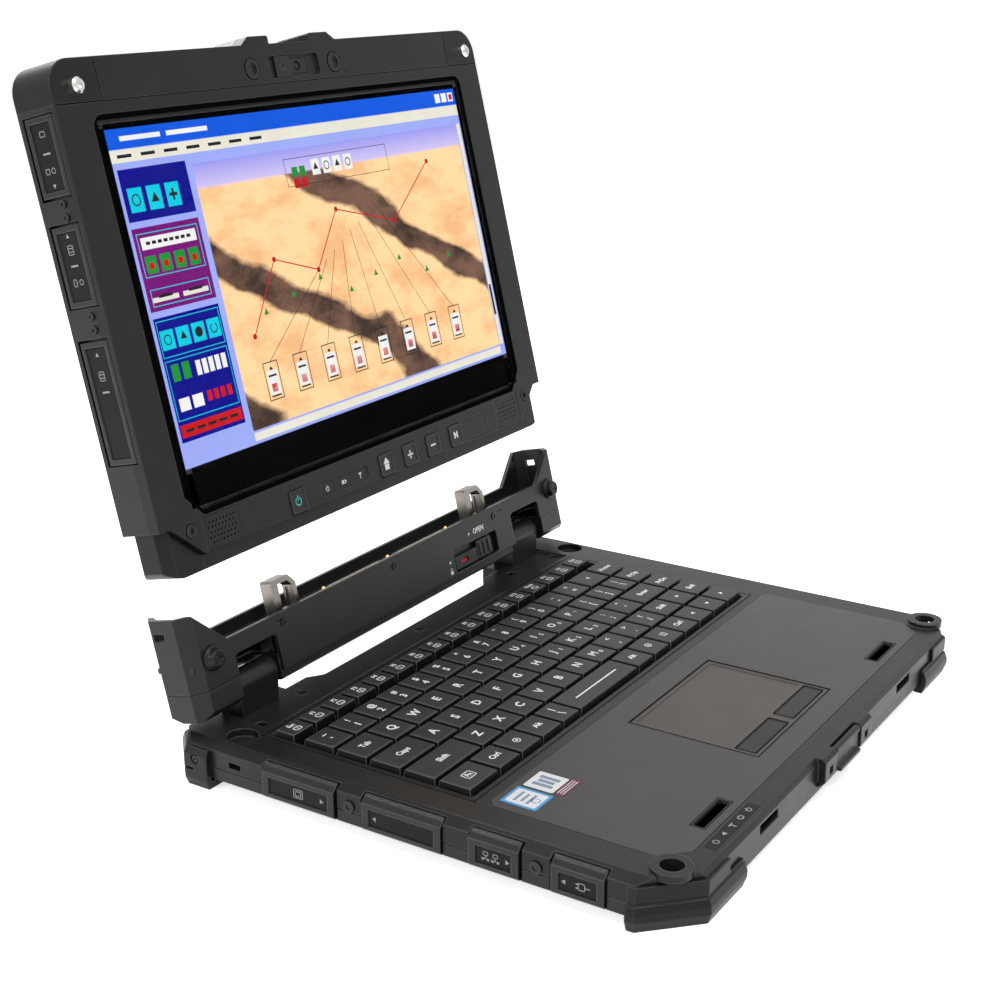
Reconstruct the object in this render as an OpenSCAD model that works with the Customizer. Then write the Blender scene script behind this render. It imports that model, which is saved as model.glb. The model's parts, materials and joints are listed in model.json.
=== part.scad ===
// Rugged convertible laptop: a keyboard dock with a hinged cradle, and a
// tablet that lifts out of the cradle. Millimetres, Z up, floor at Z = 0,
// X to the right and Y to the rear. The origin is the middle of the footprint.

/* [Tablet] */
// Width of the tablet
tablet_w = 329.5; // [322:0.5:336]
// Height of the tablet from its bottom edge to its top edge
tablet_h = 235; // [230:1:245]
// Thickness of the tablet
tablet_t = 24; // [23:0.5:28]
// Corner radius of the tablet
tablet_r = 13; // [8:1:16]
// Wall thickness of the tablet housing
tablet_wall = 2.4; // [2:0.1:3]
// Depth of the front bezel part
bezel_t = 7; // [6.6:0.1:8]
// Distance of the glass from the tablet's sides
glass_side = 20.25; // [19:0.25:24]
// Rim under the glass
glass_bottom = 25; // [23:0.5:27]
// Rim over the glass
glass_top = 25.5; // [24:0.5:30]
// Thickness of the glass
glass_t = 1.1; // [0.8:0.1:1.4]
// Black border beside the picture
picture_side = 6.2; // [5:0.1:9]
// Black border under the picture
picture_bottom = 22.25; // [18:0.25:26]
// Black border over the picture
picture_top = 6.65; // [5:0.05:9]
// Thickness of the display panel
panel_t = 3.6; // [3:0.1:4]
// Height of the camera hump over the top edge
hump_h = 4; // [3:0.5:6]
// Half length of the camera hump
hump_x = 31; // [28:1:38]
// Half length of the latch notch in the hump
notch_x = 16; // [15.5:0.5:18]
// Inset of the steel posts from the tablet's sides
post_inset = 13.5; // [12:0.5:14]
// Distance of the steel posts from the top edge
post_top = 12.3; // [11:0.1:13]
// Radius of a steel post
post_r = 3.6; // [3:0.1:4.2]
// How far a steel post stands out of the bezel
post_out = 4.4; // [3.5:0.1:5]
// Edge length of a front button
button_w = 12; // [10:0.5:12.5]
// Height of the button row over the bottom edge
button_y = 13.5; // [13.3:0.1:14]
// Travel of a front button
button_travel = 0.8; // [0.5:0.1:1]
// Width of the battery pack
battery_w = 196; // [180:1:210]
// Height of the battery pack
battery_h = 82; // [70:1:86]
// Thickness of the battery pack
battery_t = 10.5; // [9:0.5:11]

/* [Dock] */
// Height of the deck over the floor
deck_z = 23; // [22:0.5:26]
// Clearance under the dock body
belly_z = 4; // [3:0.5:5]
// Height of the seam between the two dock shells
seam_z = 11; // [10.6:0.1:11.5]
// Wall thickness of the dock shells
dock_wall = 2.4; // [2:0.1:2.8]
// How far the dock stands out past the tablet at each side
dock_margin = 0.8; // [0.5:0.1:2]
// Width of the bevel along the deck's sides
side_bevel = 5.5; // [4:0.5:6]
// Height of the bevel round the deck
bevel_h = 3; // [2:0.5:4]
// Size of the dock's front corner chamfers
corner_cut = 21; // [18:1:22]
// Width of the deck beside the keyboard
well_side = 26.3; // [24:0.1:30]
// Distance of the well's rear edge from the hinge axis
well_back = 31.7; // [30:0.1:34]
// Offset of the keyboard to the left
well_shift = 4; // [2:0.5:5]
// Row pitch of the keys
key_pitch = 18.65; // [18.2:0.05:19]
// Row pitch of the function keys
function_pitch = 16.9; // [16:0.1:17.5]
// Gap between neighbouring keys at their base
key_gap = 1.5; // [1.4:0.1:2.2]
// Inset of a key's top from its base
key_taper = 0.6; // [0.4:0.1:1.6]
// Height of the key tops over the deck
key_rise = 2.5; // [2:0.1:2.8]
// Travel of the keys
key_travel = 2; // [1.5:0.1:2.2]
// Width of the touchpad
pad_w = 86; // [80:1:92]
// Distance of the touchpad from the rear of the palm rest panel
pad_back = 14; // [12:0.5:18]
// Distance of the touchpad from the dock's front face
pad_front = 23.5; // [22:0.5:25]
// Width of the deck beside the palm rest panel
palm_side = 20.55; // [18:0.05:24]
// Width of the deck between the palm rest panel and the keyboard
palm_back = 8.85; // [7:0.05:11]
// Distance of the palm rest panel from the dock's front face
palm_front = 11.5; // [11:0.5:12]
// How far the rubber corners stand out of the dock
bumper_out = 3.2; // [2:0.1:4]
// Length of a front rubber corner along the front
bumper_len = 54; // [45:1:60]

/* [Hinge and cradle] */
// Distance of the hinge axis behind the origin
hinge_y = 86.6; // [84:0.1:89]
// Height of the hinge axis over the deck
hinge_h = 13.2; // [12.8:0.1:14]
// Lean of the cradle behind the vertical
lean = 13.6; // [5:0.1:20]
// Distance of the cradle's front face from the hinge axis
face_n = 9.8; // [9.6:0.1:10]
// Thickness of the cradle's front and rear walls
cradle_wall = 2.5; // [2.2:0.1:2.8]
// Height of the cradle's rim over the hinge axis
rim_s = 26; // [25:0.5:27]
// Height of the tablet's seat over the hinge axis
seat_s = 20; // [19.5:0.1:21]
// Height of the cradle's ears over the hinge axis
ear_s = 43.2; // [40:0.2:45]
// How far the tablet is lifted out of the cradle
lift = 40; // [34:1:60]
// Radius of a hinge pin
pin_r = 3; // [2.5:0.1:3.4]
// Radius of a hinge barrel
barrel_r = 6.8; // [6.4:0.1:7]
// Distance of a hinge block's middle from the tablet's side
hinge_in = 43.25; // [42:0.25:47]
// Width of a hinge block
hinge_w = 26.5; // [22:0.5:28]
// Distance of a latch hook's middle from the hinge block's
hook_in = 35.5; // [33.5:0.5:37]
// Width of a latch hook
hook_w = 18; // [15:0.5:19]
// Travel of the release slider
release_travel = 5; // [3:0.5:6]
// Travel of the lock slider
lock_travel = 3.5; // [2:0.5:4]

/* [Hidden] */
$fn = 48;

// Clearances
slip = 0.3;
seat_gap = 0.6;
run_gap = 0.05;
skin = 0.1;

// Dock
side_x = tablet_w / 2 + dock_margin;
front_y = hinge_y - seat_s - tablet_h;
rear_y = hinge_y + 8;
hinge_x = tablet_w / 2 - hinge_in;
hook_x = hinge_x - hook_in;
mid_y = hinge_y - 2.5;
gap_y = hinge_y - 8;
hinge_z = deck_z + hinge_h;
floor_t = 2;
deck_t = 2.2;
strip_z = deck_z - 1.2;
strip_front = hinge_y - 26;
strip_x = hinge_x + 17.5;
key_base = deck_z - 3;
plate_z = key_base - key_travel - 0.4;
plate_t = 1.2;
well_x = -well_shift;
well_rear = hinge_y - well_back;
well_w = 2 * (side_x - well_side);
well_d = 5 * key_pitch + function_pitch + 0.8;
palm_w = 2 * (side_x - palm_side);
palm_d = well_rear - well_d - palm_back - palm_front - front_y;
pad_d = palm_front + palm_d - pad_back - pad_front;
board_z = 8.4;
board_t = 1.6;
post_x = tablet_w / 2 - post_inset;
ring_y = front_y + post_top;
ring_r = 9;
ring_h = 2.4;
corner_screw_in = 1.2;
rubber_slope = 0.36;
rear_cut = 9;
stop_s = 20.5;
stop_hole_r = 7.6;
screw_r = 2.4;

// Front latch: its axis, its pin, and the nub at its end
latch_y = 1.5;
latch_z = deck_z - 2.6;
latch_w = 28;
latch_len = 10.6;
latch_plate = 1.3;
latch_side = 1.2;
latch_block = 3.8;
latch_pin_r = 1;
pin_seat = 2;
nub_out = 2.2;
nub_w = 2.6;

// Covers on the dock's left side: distances of the rear and the front end in
// front of the hinge axis as shares of the dock's depth, and 1 for a pivot at
// the rear end or -1 at the front
COVER_SHARES = [[0.1745, 0.3376, 1], [0.391, 0.5576, -1], [0.6106, 0.7114, 1], [0.7655, 0.8671, -1]];
BLOCK_SHARES = [[0.3427, 0.3863], [0.7173, 0.7596]];
deck_d = hinge_y - front_y;
COVERS = [for (c = COVER_SHARES) [c[0] * deck_d, c[1] * deck_d, c[2]]];
LEFT_BLOCKS = [for (b = BLOCK_SHARES) b * deck_d];
cover_x = 3.4;
cover_out = 1.4;
cover_z = 5.4;

// Keys: widths in units, row by row from the rear
KEY_ROWS = [
    [for (i = [1 : 17]) 1],
    [0.95, for (i = [1 : 12]) 1, 1.17, 0.95],
    [1.24, for (i = [1 : 12]) 1, 0.88, 0.95],
    [1.62, for (i = [1 : 11]) 1, 1.5, 0.95],
    [2.11, for (i = [1 : 10]) 1, 1.06, 0.95, 0.95],
    [1.32, 1, 1, 1, 0.9, 3.2, 0.95, 0.95, 0.95, 0.95, 0.95, 0.95, 0.95]];
function_d = 11.6;
stem_w = 4;

// Cradle
rear_n = face_n - tablet_t - cradle_wall - seat_gap;
lip_n = face_n - cradle_wall;
low_s = 6.5;
ear_in = 25.3;
ear_top = 6.25;
ear_x = tablet_w / 2;
pocket_w = hinge_w + 4;
connector_x = hook_x - 29.3;
pocket_s = 15.6;
boss_w = 5;
floor_s = seat_s - 0.5;
floor_plate = 2.5;
bar_s = 5;
bar_h = 3;
WINDOW = [hook_x - 41, hook_x + 3, 0, 12.5];
FACE_SCREWS = [21.5 - hinge_x, -8, hinge_x - 31.5];
hook_n = [-5, 2];
connector_n = [-3.4, 3.6];

// Tablet
step_y = rim_s - seat_s + 0.8;
step_z = cradle_wall + 0.7;
guard_x = tablet_w / 2 - 28.75;
guard_y = 19.5;
guard_t = 3.4;
ear_gap = 0.8;
slot_h = 21;
DOORS = [[22, 58, 1], [69, 106, -1], [120.5, 178, -1]];
door_t = 3;
door_z = 2.6;
BUTTONS = [-70, 4, 25.7, 47.6, 70];
glass_w = tablet_w - 2 * glass_side;
picture_w = glass_w - 2 * picture_side;
battery_y = 28.4;
main_y = battery_y + battery_h + 12.6;
grille_x = tablet_w / 2 - 39.75;
grille_y = 15.6;
boss_x = 32.5;
boss_y = tablet_h - 11.6;
camera_x = 4;
foot_screw = [tablet_w / 2 - 19.25, 20];
receptacle_z = [-14, -5.4];
shutter_w = 11;
shutter_travel = 12.5;

// ---------------------------------------------------------------- helpers

// A box between two corners
module block(a, b) {
    translate(a) cube(b - a);
}

// Both the children and their mirror image
module both_sides() {
    children();
    mirror([1, 0, 0]) children();
}

// Extrude a Y-Z outline along X
module along_x(x0, x1) {
    translate([x0, 0, 0]) rotate([90, 0, 90]) linear_extrude(x1 - x0) children();
}

// Extrude an X-Z outline along Y
module along_y(y0, y1) {
    translate([0, y1, 0]) rotate([90, 0, 0]) linear_extrude(y1 - y0) children();
}

// Extrude a plan outline between two heights
module along_z(z0, z1) {
    translate([0, 0, z0]) linear_extrude(z1 - z0) children();
}

// A rectangle with round corners between two opposite corners
module round_box(a, b, r) {
    translate([a[0] + r, a[1]]) square([b[0] - a[0] - 2 * r, b[1] - a[1]]);
    translate([a[0], a[1] + r]) square([b[0] - a[0], b[1] - a[1] - 2 * r]);
    for (x = [a[0] + r, b[0] - r], y = [a[1] + r, b[1] - r])
        translate([x, y]) circle(r);
}

// A rectangle with cut corners
module cut_box(a, b, c) {
    polygon([[a[0] + c, a[1]], [b[0] - c, a[1]], [b[0], a[1] + c], [b[0], b[1] - c],
        [b[0] - c, b[1]], [a[0] + c, b[1]], [a[0], b[1] - c], [a[0], a[1] + c]]);
}

// A pan-head screw along +Z with a cross recess, head base at z = 0
module screw(r = screw_r, head = 1, length = 4) {
    difference() {
        union() {
            cylinder(h = head, r = r);
            translate([0, 0, -length]) cylinder(h = length, r = r * 0.55);
        }
        for (a = [0, 90])
            rotate([0, 0, a]) translate([-r * 0.6, -0.25, head - 0.5]) cube([r * 1.2, 0.5, 1]);
    }
}

// The cradle's frame: X right, Y up along the tablet, Z out of the screen
module lid() {
    translate([0, hinge_y, hinge_z]) rotate([90 - lean, 0, 0]) children();
}

// The tablet's frame: origin at the middle of its bottom edge, on its face
module on_tablet() {
    lid() translate([0, seat_s + lift, face_n]) children();
}

// ---------------------------------------------------------------- dock shells

// Plan of the dock grown by g all round
module dock_plan(g = 0) {
    w = side_x + g;
    c = corner_cut + 0.586 * g;
    k = rear_cut + 0.586 * g;
    x0 = hinge_x - 23.5;
    polygon([[-w + c, front_y - g], [w - c, front_y - g], [w, front_y - g + c],
        [w, rear_y + g - k], [w - k, rear_y + g],
        [x0, rear_y + g], [x0, mid_y + g], [x0 - 16, mid_y + g], [x0 - 24, gap_y + g],
        [24 - x0, gap_y + g], [16 - x0, mid_y + g], [-x0, mid_y + g], [-x0, rear_y + g],
        [-w + k, rear_y + g], [-w, rear_y + g - k], [-w, front_y - g + c]]);
}

// Plan of the hollow inside the dock walls
module dock_hollow() {
    w = side_x - side_bevel - dock_wall;
    c = corner_cut - 3;
    y0 = front_y + dock_wall;
    polygon([[-w + c, y0], [w - c, y0], [w, y0 + c], [w, mid_y - 10],
        [-w, mid_y - 10], [-w, y0 + c]]);
}

// Everything under the bevelled edges of the dock
module dock_bevels() {
    over = 20;
    w = side_x;
    intersection() {
        along_y(front_y - over, rear_y + over) polygon([[-w, belly_z + 1.5],
            [-w + 3, belly_z], [w - 3, belly_z], [w, belly_z + 1.5], [w, deck_z - bevel_h],
            [w - side_bevel, deck_z], [-w + side_bevel, deck_z], [-w, deck_z - bevel_h]]);
        along_x(-w - over, w + over) polygon([[front_y, belly_z + 1.5],
            [front_y + 3, belly_z], [rear_y, belly_z], [rear_y, deck_z],
            [front_y + 1.8, deck_z], [front_y, deck_z - bevel_h]]);
    }
}

// Notches that the port covers close, grown by g
module cover_notches(g = 0) {
    for (c = COVERS)
        block([-side_x - 5, hinge_y - c[1] - g, cover_z - g],
            [-side_x + cover_x + g, hinge_y - c[0] + g, deck_z + 1]);
}

// Windows in the left wall that the sockets fill
module port_windows() {
    for (c = COVERS)
        block([-side_x + 1, hinge_y - c[1] + 4, board_z + board_t],
            [-side_x + side_bevel + dock_wall + 1, hinge_y - c[0] - 4, 17.6]);
}

// Recess of the front latch, with the holes of its pin
module latch_recess() {
    w = latch_w / 2 + latch_side;
    block([-w, front_y - 9, belly_z + 4.5], [w, front_y + 0.8, deck_z + 5]);
    translate([-w - pin_seat, front_y - latch_y, latch_z]) rotate([0, 90, 0])
        cylinder(h = 2 * (w + pin_seat), r = latch_pin_r);
}

module dock_bottom() color([0.13, 0.13, 0.135]) {
    difference() {
        intersection() {
            along_z(belly_z, seam_z) dock_plan();
            dock_bevels();
        }
        along_z(belly_z + floor_t, seam_z + 1) dock_hollow();
        cover_notches(slip);
        port_windows();
        // ribs of the rubber grip strips under the palm rest
        for (x = [-60 : 12 : 60])
            block([x - 3, front_y + 30, belly_z - 1], [x + 3, front_y + 70, belly_z + 0.8]);
        foot_places() translate([0, 0, belly_z - 1]) cylinder(h = 1.6, r = 8.3);
    }
    // posts that carry the circuit board
    for (x = [-120, 0, 120], y = [front_y + 60, hinge_y - 65])
        translate([x, y, belly_z + floor_t - 0.1])
            cylinder(h = board_z - belly_z - floor_t + 0.1, r = 3);
}

module dock_top() color([0.14, 0.14, 0.145]) {
    difference() {
        union() {
            intersection() {
                along_z(seam_z, deck_z) dock_plan();
                dock_bevels();
            }
            // raised rings that take the tablet's posts
            both_sides() translate([post_x, ring_y, deck_z - 1]) cylinder(h = 1 + ring_h, r = ring_r);
            // block round the front latch
            along_x(-29, 29) polygon([[front_y, belly_z + 4], [front_y - latch_block, belly_z + 7],
                [front_y - latch_block, deck_z - 2.2], [front_y - latch_block + 1.9, deck_z - 0.3],
                [front_y + 3, deck_z - 0.3], [front_y + 3, seam_z], [front_y, seam_z]]);
        }
        difference() {
            along_z(seam_z - 1, deck_z - deck_t) dock_hollow();
            deck_bosses();
        }
        // keyboard well
        along_z(deck_z - 10, deck_z + 1) round_box([well_x - well_w / 2 - 0.6, well_rear - well_d - 0.6],
            [well_x + well_w / 2 + 0.6, well_rear + 0.6], 3);
        // touchpad opening and the panel's recess
        pad_hole(slip);
        along_z(deck_z - 0.9, deck_z + 1) palm_plan(slip);
        palm_slots();
        // rear strip, lower than the deck
        block([-strip_x, strip_front, strip_z], [strip_x, rear_y + 1, deck_z + 1]);
        // holes of the rings and of the rear stops
        both_sides() {
            translate([post_x, ring_y, deck_z - 6]) cylinder(h = 12, r = post_r + 1.6);
            translate([post_x, hinge_y - stop_s, deck_z - 4]) cylinder(h = 8, r = stop_hole_r);
        }
        cover_notches(slip);
        port_windows();
        latch_recess();
        front_windows();
        lock_slot();
        deck_screw_places() translate([0, 0, -0.1]) cylinder(h = 4, r = screw_r + 0.5);
        deck_screw_places() translate([0, 0, -5]) cylinder(h = 6, r = screw_r * 0.55 + run_gap);
        // groove along the seam of the side walls
        both_sides() block([side_x - 0.5, front_y + 40, seam_z - 1], [side_x + 1, rear_y - 20, seam_z + 0.5]);
    }
}

// Bosses under the deck for the ring holes and the stop holes
module deck_bosses() {
    both_sides() {
        translate([post_x, ring_y, seam_z - 2]) cylinder(h = 12, r = post_r + 4);
        translate([post_x, hinge_y - stop_s, seam_z - 2]) cylinder(h = 12, r = stop_hole_r + 3);
    }
}

// Windows in the front edge that show the speaker ducts
module front_windows() {
    both_sides() block([74, front_y - 1, deck_z - 9], [93, front_y + 4, deck_z - 4.2]);
    both_sides() block([20, front_y - 4, deck_z - 10], [24, front_y + 1, deck_z - 6]);
}

// Slot for a security lock on the left side
module lock_slot() {
    block([-side_x - 1, hinge_y - 31, 13.5], [-side_x + 4, hinge_y - 24, 16.5]);
}

// Screws on the rear strip and beside it
module deck_screw_places() {
    both_sides() for (p = [[strip_x - 3.7, 18.8], [hinge_x - 24, 12.4]])
        translate([p[0], hinge_y - p[1], strip_z - 1.2]) children();
    translate([0, hinge_y - 14.6, strip_z - 1.2]) children();
}

// ---------------------------------------------------------------- palm rest

module palm_plan(g = 0) {
    w = palm_w / 2 + g;
    y0 = front_y + palm_front - g;
    y1 = front_y + palm_front + palm_d + g;
    difference() {
        polygon([[-w + 11, y0], [w - 11, y0], [w, y0 + 11], [w, y1 - 3], [w - 3, y1],
            [-w + 3, y1], [-w, y1 - 3], [-w, y0 + 11]]);
        for (x = [-post_x, post_x]) translate([x, ring_y]) circle(ring_r + 1.2 - g);
    }
}

module pad_hole(g) {
    along_z(deck_z - 8, deck_z + 1) round_box([-pad_w / 2 - g, front_y + pad_front - g],
        [pad_w / 2 + g, front_y + pad_front + pad_d + g], 2);
}

// The two long slots near the front edge
module palm_slots() {
    both_sides() along_z(deck_z - 4, deck_z + 1)
        round_box([88, front_y + 16], [114.5, front_y + 21.6], 0.8);
}

module palm_rest_panel() color([0.2, 0.19, 0.18]) difference() {
    along_z(deck_z - 0.9, deck_z + 0.15) palm_plan();
    pad_hole(slip);
    palm_slots();
}

// A button of the touchpad, or its pocket, between two heights and grown by g
module pad_button(z0, z1, g = 0) {
    y0 = front_y + pad_front + 2.4;
    along_z(z0, z1) cut_box([2.8 - g, y0 - g], [pad_w / 2 - 2.8 + g, y0 + 10 + g], 1);
}

module touchpad() color([0.17, 0.155, 0.145]) difference() {
    y0 = front_y + pad_front;
    along_z(deck_z - 5, deck_z - 0.1) round_box([-pad_w / 2, y0], [pad_w / 2, y0 + pad_d], 1.8);
    // sensing surface, a little lower than its rim
    along_z(deck_z - 0.5, deck_z + 1)
        round_box([-pad_w / 2 + 2.6, y0 + 14.5], [pad_w / 2 - 2.6, y0 + pad_d - 2.4], 1.2);
    both_sides() pad_button(deck_z - 3.8, deck_z + 1, slip);
}

module touchpad_button() color([0.16, 0.16, 0.165]) pad_button(deck_z - 2.6, deck_z - 0.2);
module touchpad_button_left() mirror([1, 0, 0]) touchpad_button();
module touchpad_button_right() touchpad_button();

// ---------------------------------------------------------------- keyboard

function total(v, n) = n <= 0 ? 0 : v[n - 1] + total(v, n - 1);
function row_y(i) = i == 0 ? well_rear - 0.8 - function_d / 2
    : well_rear - 0.4 - function_pitch - (i - 0.5) * key_pitch;
function row_d(i) = i == 0 ? function_d : key_pitch - key_gap;
function key_x(i, k) = well_x - well_w / 2
    + (total(KEY_ROWS[i], k) + KEY_ROWS[i][k] / 2) * well_w / total(KEY_ROWS[i], len(KEY_ROWS[i]));
function key_w(i, k) = KEY_ROWS[i][k] * well_w / total(KEY_ROWS[i], len(KEY_ROWS[i])) - key_gap;

// One cap with four sloping sides and a guide stem
module key_cap(w, d) {
    t = key_taper;
    z0 = key_base;
    z1 = deck_z + key_rise;
    intersection() {
        along_y(-d / 2, d / 2) polygon([[-w / 2, z0], [w / 2, z0], [w / 2, z0 + 2],
            [w / 2 - t, z1 - 0.3], [w / 2 - t - 0.4, z1], [-w / 2 + t + 0.4, z1],
            [-w / 2 + t, z1 - 0.3], [-w / 2, z0 + 2]]);
        along_x(-w / 2, w / 2) polygon([[-d / 2, z0], [d / 2, z0], [d / 2, z0 + 2],
            [d / 2 - t, z1 - 0.3], [d / 2 - t - 0.4, z1], [-d / 2 + t + 0.4, z1],
            [-d / 2 + t, z1 - 0.3], [-d / 2, z0 + 2]]);
    }
    block([-stem_w / 2, -stem_w / 2, plate_z - plate_t + 0.2], [stem_w / 2, stem_w / 2, z0 + 0.1]);
}

module key_row(i) color([0.11, 0.11, 0.115])
    for (k = [0 : len(KEY_ROWS[i]) - 1])
        translate([key_x(i, k), row_y(i), 0]) key_cap(key_w(i, k), row_d(i));

module keyboard_plate() color([0.05, 0.05, 0.055]) difference() {
    union() {
        along_z(plate_z - plate_t, plate_z) plate_plan(0.2);
        // rim that the well's edge covers
        difference() {
            along_z(plate_z - 0.1, deck_z - 1.4) plate_plan(0.2);
            along_z(plate_z - 1, deck_z) plate_plan(-0.25, 1.6);
        }
    }
    for (i = [0 : 5], k = [0 : len(KEY_ROWS[i]) - 1])
        translate([key_x(i, k), row_y(i), 0])
            block([-stem_w / 2 - slip, -stem_w / 2 - slip, plate_z - plate_t - 1],
                [stem_w / 2 + slip, stem_w / 2 + slip, plate_z + 1]);
}

// Plan of the back plate, grown by g, with corner radius r
module plate_plan(g, r = 2.8) {
    round_box([well_x - well_w / 2 - g, well_rear - well_d - g], [well_x + well_w / 2 + g, well_rear + g], r);
}

// ---------------------------------------------------------------- rubber corners

// One front corner, modelled on the left side
module front_corner() color([0.11, 0.11, 0.115]) {
    y1 = front_y + 24;
    x1 = -side_x + bumper_len;
    difference() {
        union() {
            // foot and bulging lower band
            along_z(0, 13) front_zone(bumper_out, x1, y1) dock_plan(bumper_out);
            // upper band that climbs to the deck
            along_z(13, deck_z - bevel_h) front_zone(1.6, x1 - 14, y1) dock_plan(1.6);
        }
        along_z(belly_z - skin, deck_z) dock_plan(skin);
        // the foot is open towards the middle of the dock
        along_z(-1, belly_z + 1) front_zone(-bumper_out, x1 - 26, y1 - 22) translate([26, 22]) dock_plan(0);
        along_z(11.6, 13.1) difference() {
            front_zone(10, x1 + 5, y1 + 5) dock_plan(10);
            dock_plan(1.2);
        }
        // sloping faces above and below the band's ridge
        ridge_cuts(side_x, 0, [5, 8], 11.6);
        ridge_cuts((side_x - front_y - corner_cut) / sqrt(2), 45, [5, 8], 11.6);
        ridge_cuts(-front_y, 90, [5, 8], 11.6);
    }
}

// Part of a plan near the front left corner
module front_zone(g, x1, y1) intersection() {
    children();
    polygon([[-side_x - 12, front_y - 12], [x1, front_y - 12], [x1, front_y + 2],
        [x1 - 6, front_y + 10], [-side_x + 22, y1], [-side_x - 12, y1]]);
}

// Wedges that slope a rubber face above and below its ridge. The face lies
// bumper_out beyond reach, on the side that angle a turns the left side to
module ridge_cuts(reach, a, ridge, top) {
    x = -reach - bumper_out;
    rotate([0, 0, a]) along_y(-300, 300) {
        polygon([[x - 1, -1], [x + (ridge[0] + 1) * rubber_slope, -1],
            [x - 1, ridge[0] + 1 / rubber_slope]]);
        polygon([[x - 1, ridge[1] - 1 / rubber_slope],
            [x + (top - ridge[1]) * rubber_slope, top], [x - 1, top]]);
    }
}

// One rear corner, modelled on the left side
module rear_corner() color([0.11, 0.11, 0.115]) {
    y0 = hinge_y - 13;
    difference() {
        along_z(0, deck_z - bevel_h) rear_zone(y0) dock_plan(bumper_out);
        along_z(belly_z - skin, deck_z) dock_plan(skin);
        along_z(-1, belly_z + 1) translate([-side_x + 20, y0 - 1]) square([40, 10]);
        along_z(8.6, 10) difference() {
            rear_zone(y0 + 8) dock_plan(10);
            dock_plan(1.4);
        }
        ridge_cuts(side_x, 0, [4, 16.5], deck_z);
        ridge_cuts((side_x + rear_y - rear_cut) / sqrt(2), -45, [4, 16.5], deck_z);
        ridge_cuts(rear_y, -90, [4, 16.5], deck_z);
        // screw recess in the side
        translate([-side_x - bumper_out - 1, hinge_y - 6, 14.5]) rotate([0, 90, 0])
            cylinder(h = 1 + corner_screw_in, r = 2.6);
    }
}

module rear_zone(y0) intersection() {
    children();
    polygon([[-side_x - 12, y0], [-side_x + 26, y0], [-side_x + 34, y0 + 10],
        [-side_x + 34, rear_y + 12], [-side_x - 12, rear_y + 12]]);
}

module front_corner_left() front_corner();
module front_corner_right() mirror([1, 0, 0]) front_corner();
module rear_corner_left() rear_corner();
module rear_corner_right() mirror([1, 0, 0]) rear_corner();

// ---------------------------------------------------------------- inside the dock

module dock_board() color([0.05, 0.22, 0.12]) {
    x1 = side_x - side_bevel - dock_wall - 1;
    along_z(board_z, board_z + board_t) difference() {
        polygon([[-x1 - 1, front_y + 38], [x1 - 30, front_y + 38], [x1 - 30, hinge_y - 50],
            [-x1 - 1, hinge_y - 50]]);
        translate([-40, front_y + 80]) square([100, 90]);
    }
}

// Sockets behind the four covers: display, serial, network and data
module dock_ports() color([0.6, 0.6, 0.62]) {
    z0 = board_z + board_t;
    x0 = -side_x + cover_x + 1;
    for (c = [COVERS[0], COVERS[1]]) d_sub(x0, (c[0] + c[1]) / 2, c[1] - c[0] - 12, z0);
    for (c = [COVERS[2], COVERS[3]]) socket(x0, (c[0] + c[1]) / 2, c[1] - c[0] - 9, z0, 7.4);
}

// A shell with a D-shaped plug face and two rows of pins
module d_sub(x0, m, w, z0) translate([x0, hinge_y - m, z0]) {
    difference() {
        block([0, -w / 2, 0], [11, w / 2, 7.4]);
        translate([-1, 0, 3.7]) along_x(0, 5.5)
            polygon([[-w / 2 + 7, -2.6], [w / 2 - 7, -2.6], [w / 2 - 5.6, 2.6], [-w / 2 + 5.6, 2.6]]);
    }
    for (i = [-3 : 3], r = [-1, 1])
        translate([0.6, i * 2.2 + r * 0.5, 3.7 + r * 1.1]) rotate([0, 90, 0])
            cylinder(h = 4, r = 0.45, $fn = 8);
}

// A box socket with an open mouth and a tongue
module socket(x0, m, w, z0, h) translate([x0, hinge_y - m, z0]) difference() {
    block([0, -w / 2, 0], [14, w / 2, h]);
    block([-1, -w / 2 + 0.8, 0.9], [9, w / 2 - 0.8, h - 0.9]);
}

// Round rubber feet between the corners
module foot_places() {
    for (x = [-96, 96], y = [front_y + 40, hinge_y - 34]) translate([x, y, 0]) children();
}

module dock_feet() color([0.07, 0.07, 0.07])
    foot_places() rotate_extrude() polygon([[0, 0], [7, 0], [8, 1], [8, belly_z + 0.6], [0, belly_z + 0.6]]);

module dock_screws() color([0.25, 0.25, 0.26]) {
    deck_screw_places() screw(length = 4.5);
    // screws in the blocks between the covers
    for (b = LEFT_BLOCKS)
        translate([-side_x, hinge_y - (b[0] + b[1]) / 2, 14]) rotate([0, -90, 0])
            side_screw();
    both_sides() translate([-side_x - bumper_out + corner_screw_in, hinge_y - 6, 14.5])
        rotate([0, -90, 0]) side_screw(1.6);
}

// Flat round screw head for the side walls
module side_screw(r = 3) {
    difference() {
        cylinder(h = 0.8, r = r);
        translate([0, 0, 0.4]) cylinder(h = 1, r = r * 0.45, $fn = 6);
    }
}

// ---------------------------------------------------------------- hinge and front latch

// Upright block with the hinge barrel, on the right side
module hinge_block() color([0.12, 0.12, 0.125]) difference() {
    x0 = hinge_x - hinge_w / 2;
    union() {
        along_x(x0, x0 + hinge_w) polygon([[hinge_y - barrel_r, strip_z], [hinge_y + barrel_r, strip_z],
            [hinge_y + barrel_r, hinge_z], [hinge_y - barrel_r, hinge_z]]);
        translate([x0, hinge_y, hinge_z]) rotate([0, 90, 0]) cylinder(h = hinge_w, r = barrel_r);
    }
    translate([x0 - 1, hinge_y, hinge_z]) rotate([0, 90, 0]) cylinder(h = hinge_w + 2, r = pin_r + run_gap);
}

module hinge_block_left() mirror([1, 0, 0]) hinge_block();
module hinge_block_right() hinge_block();

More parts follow.
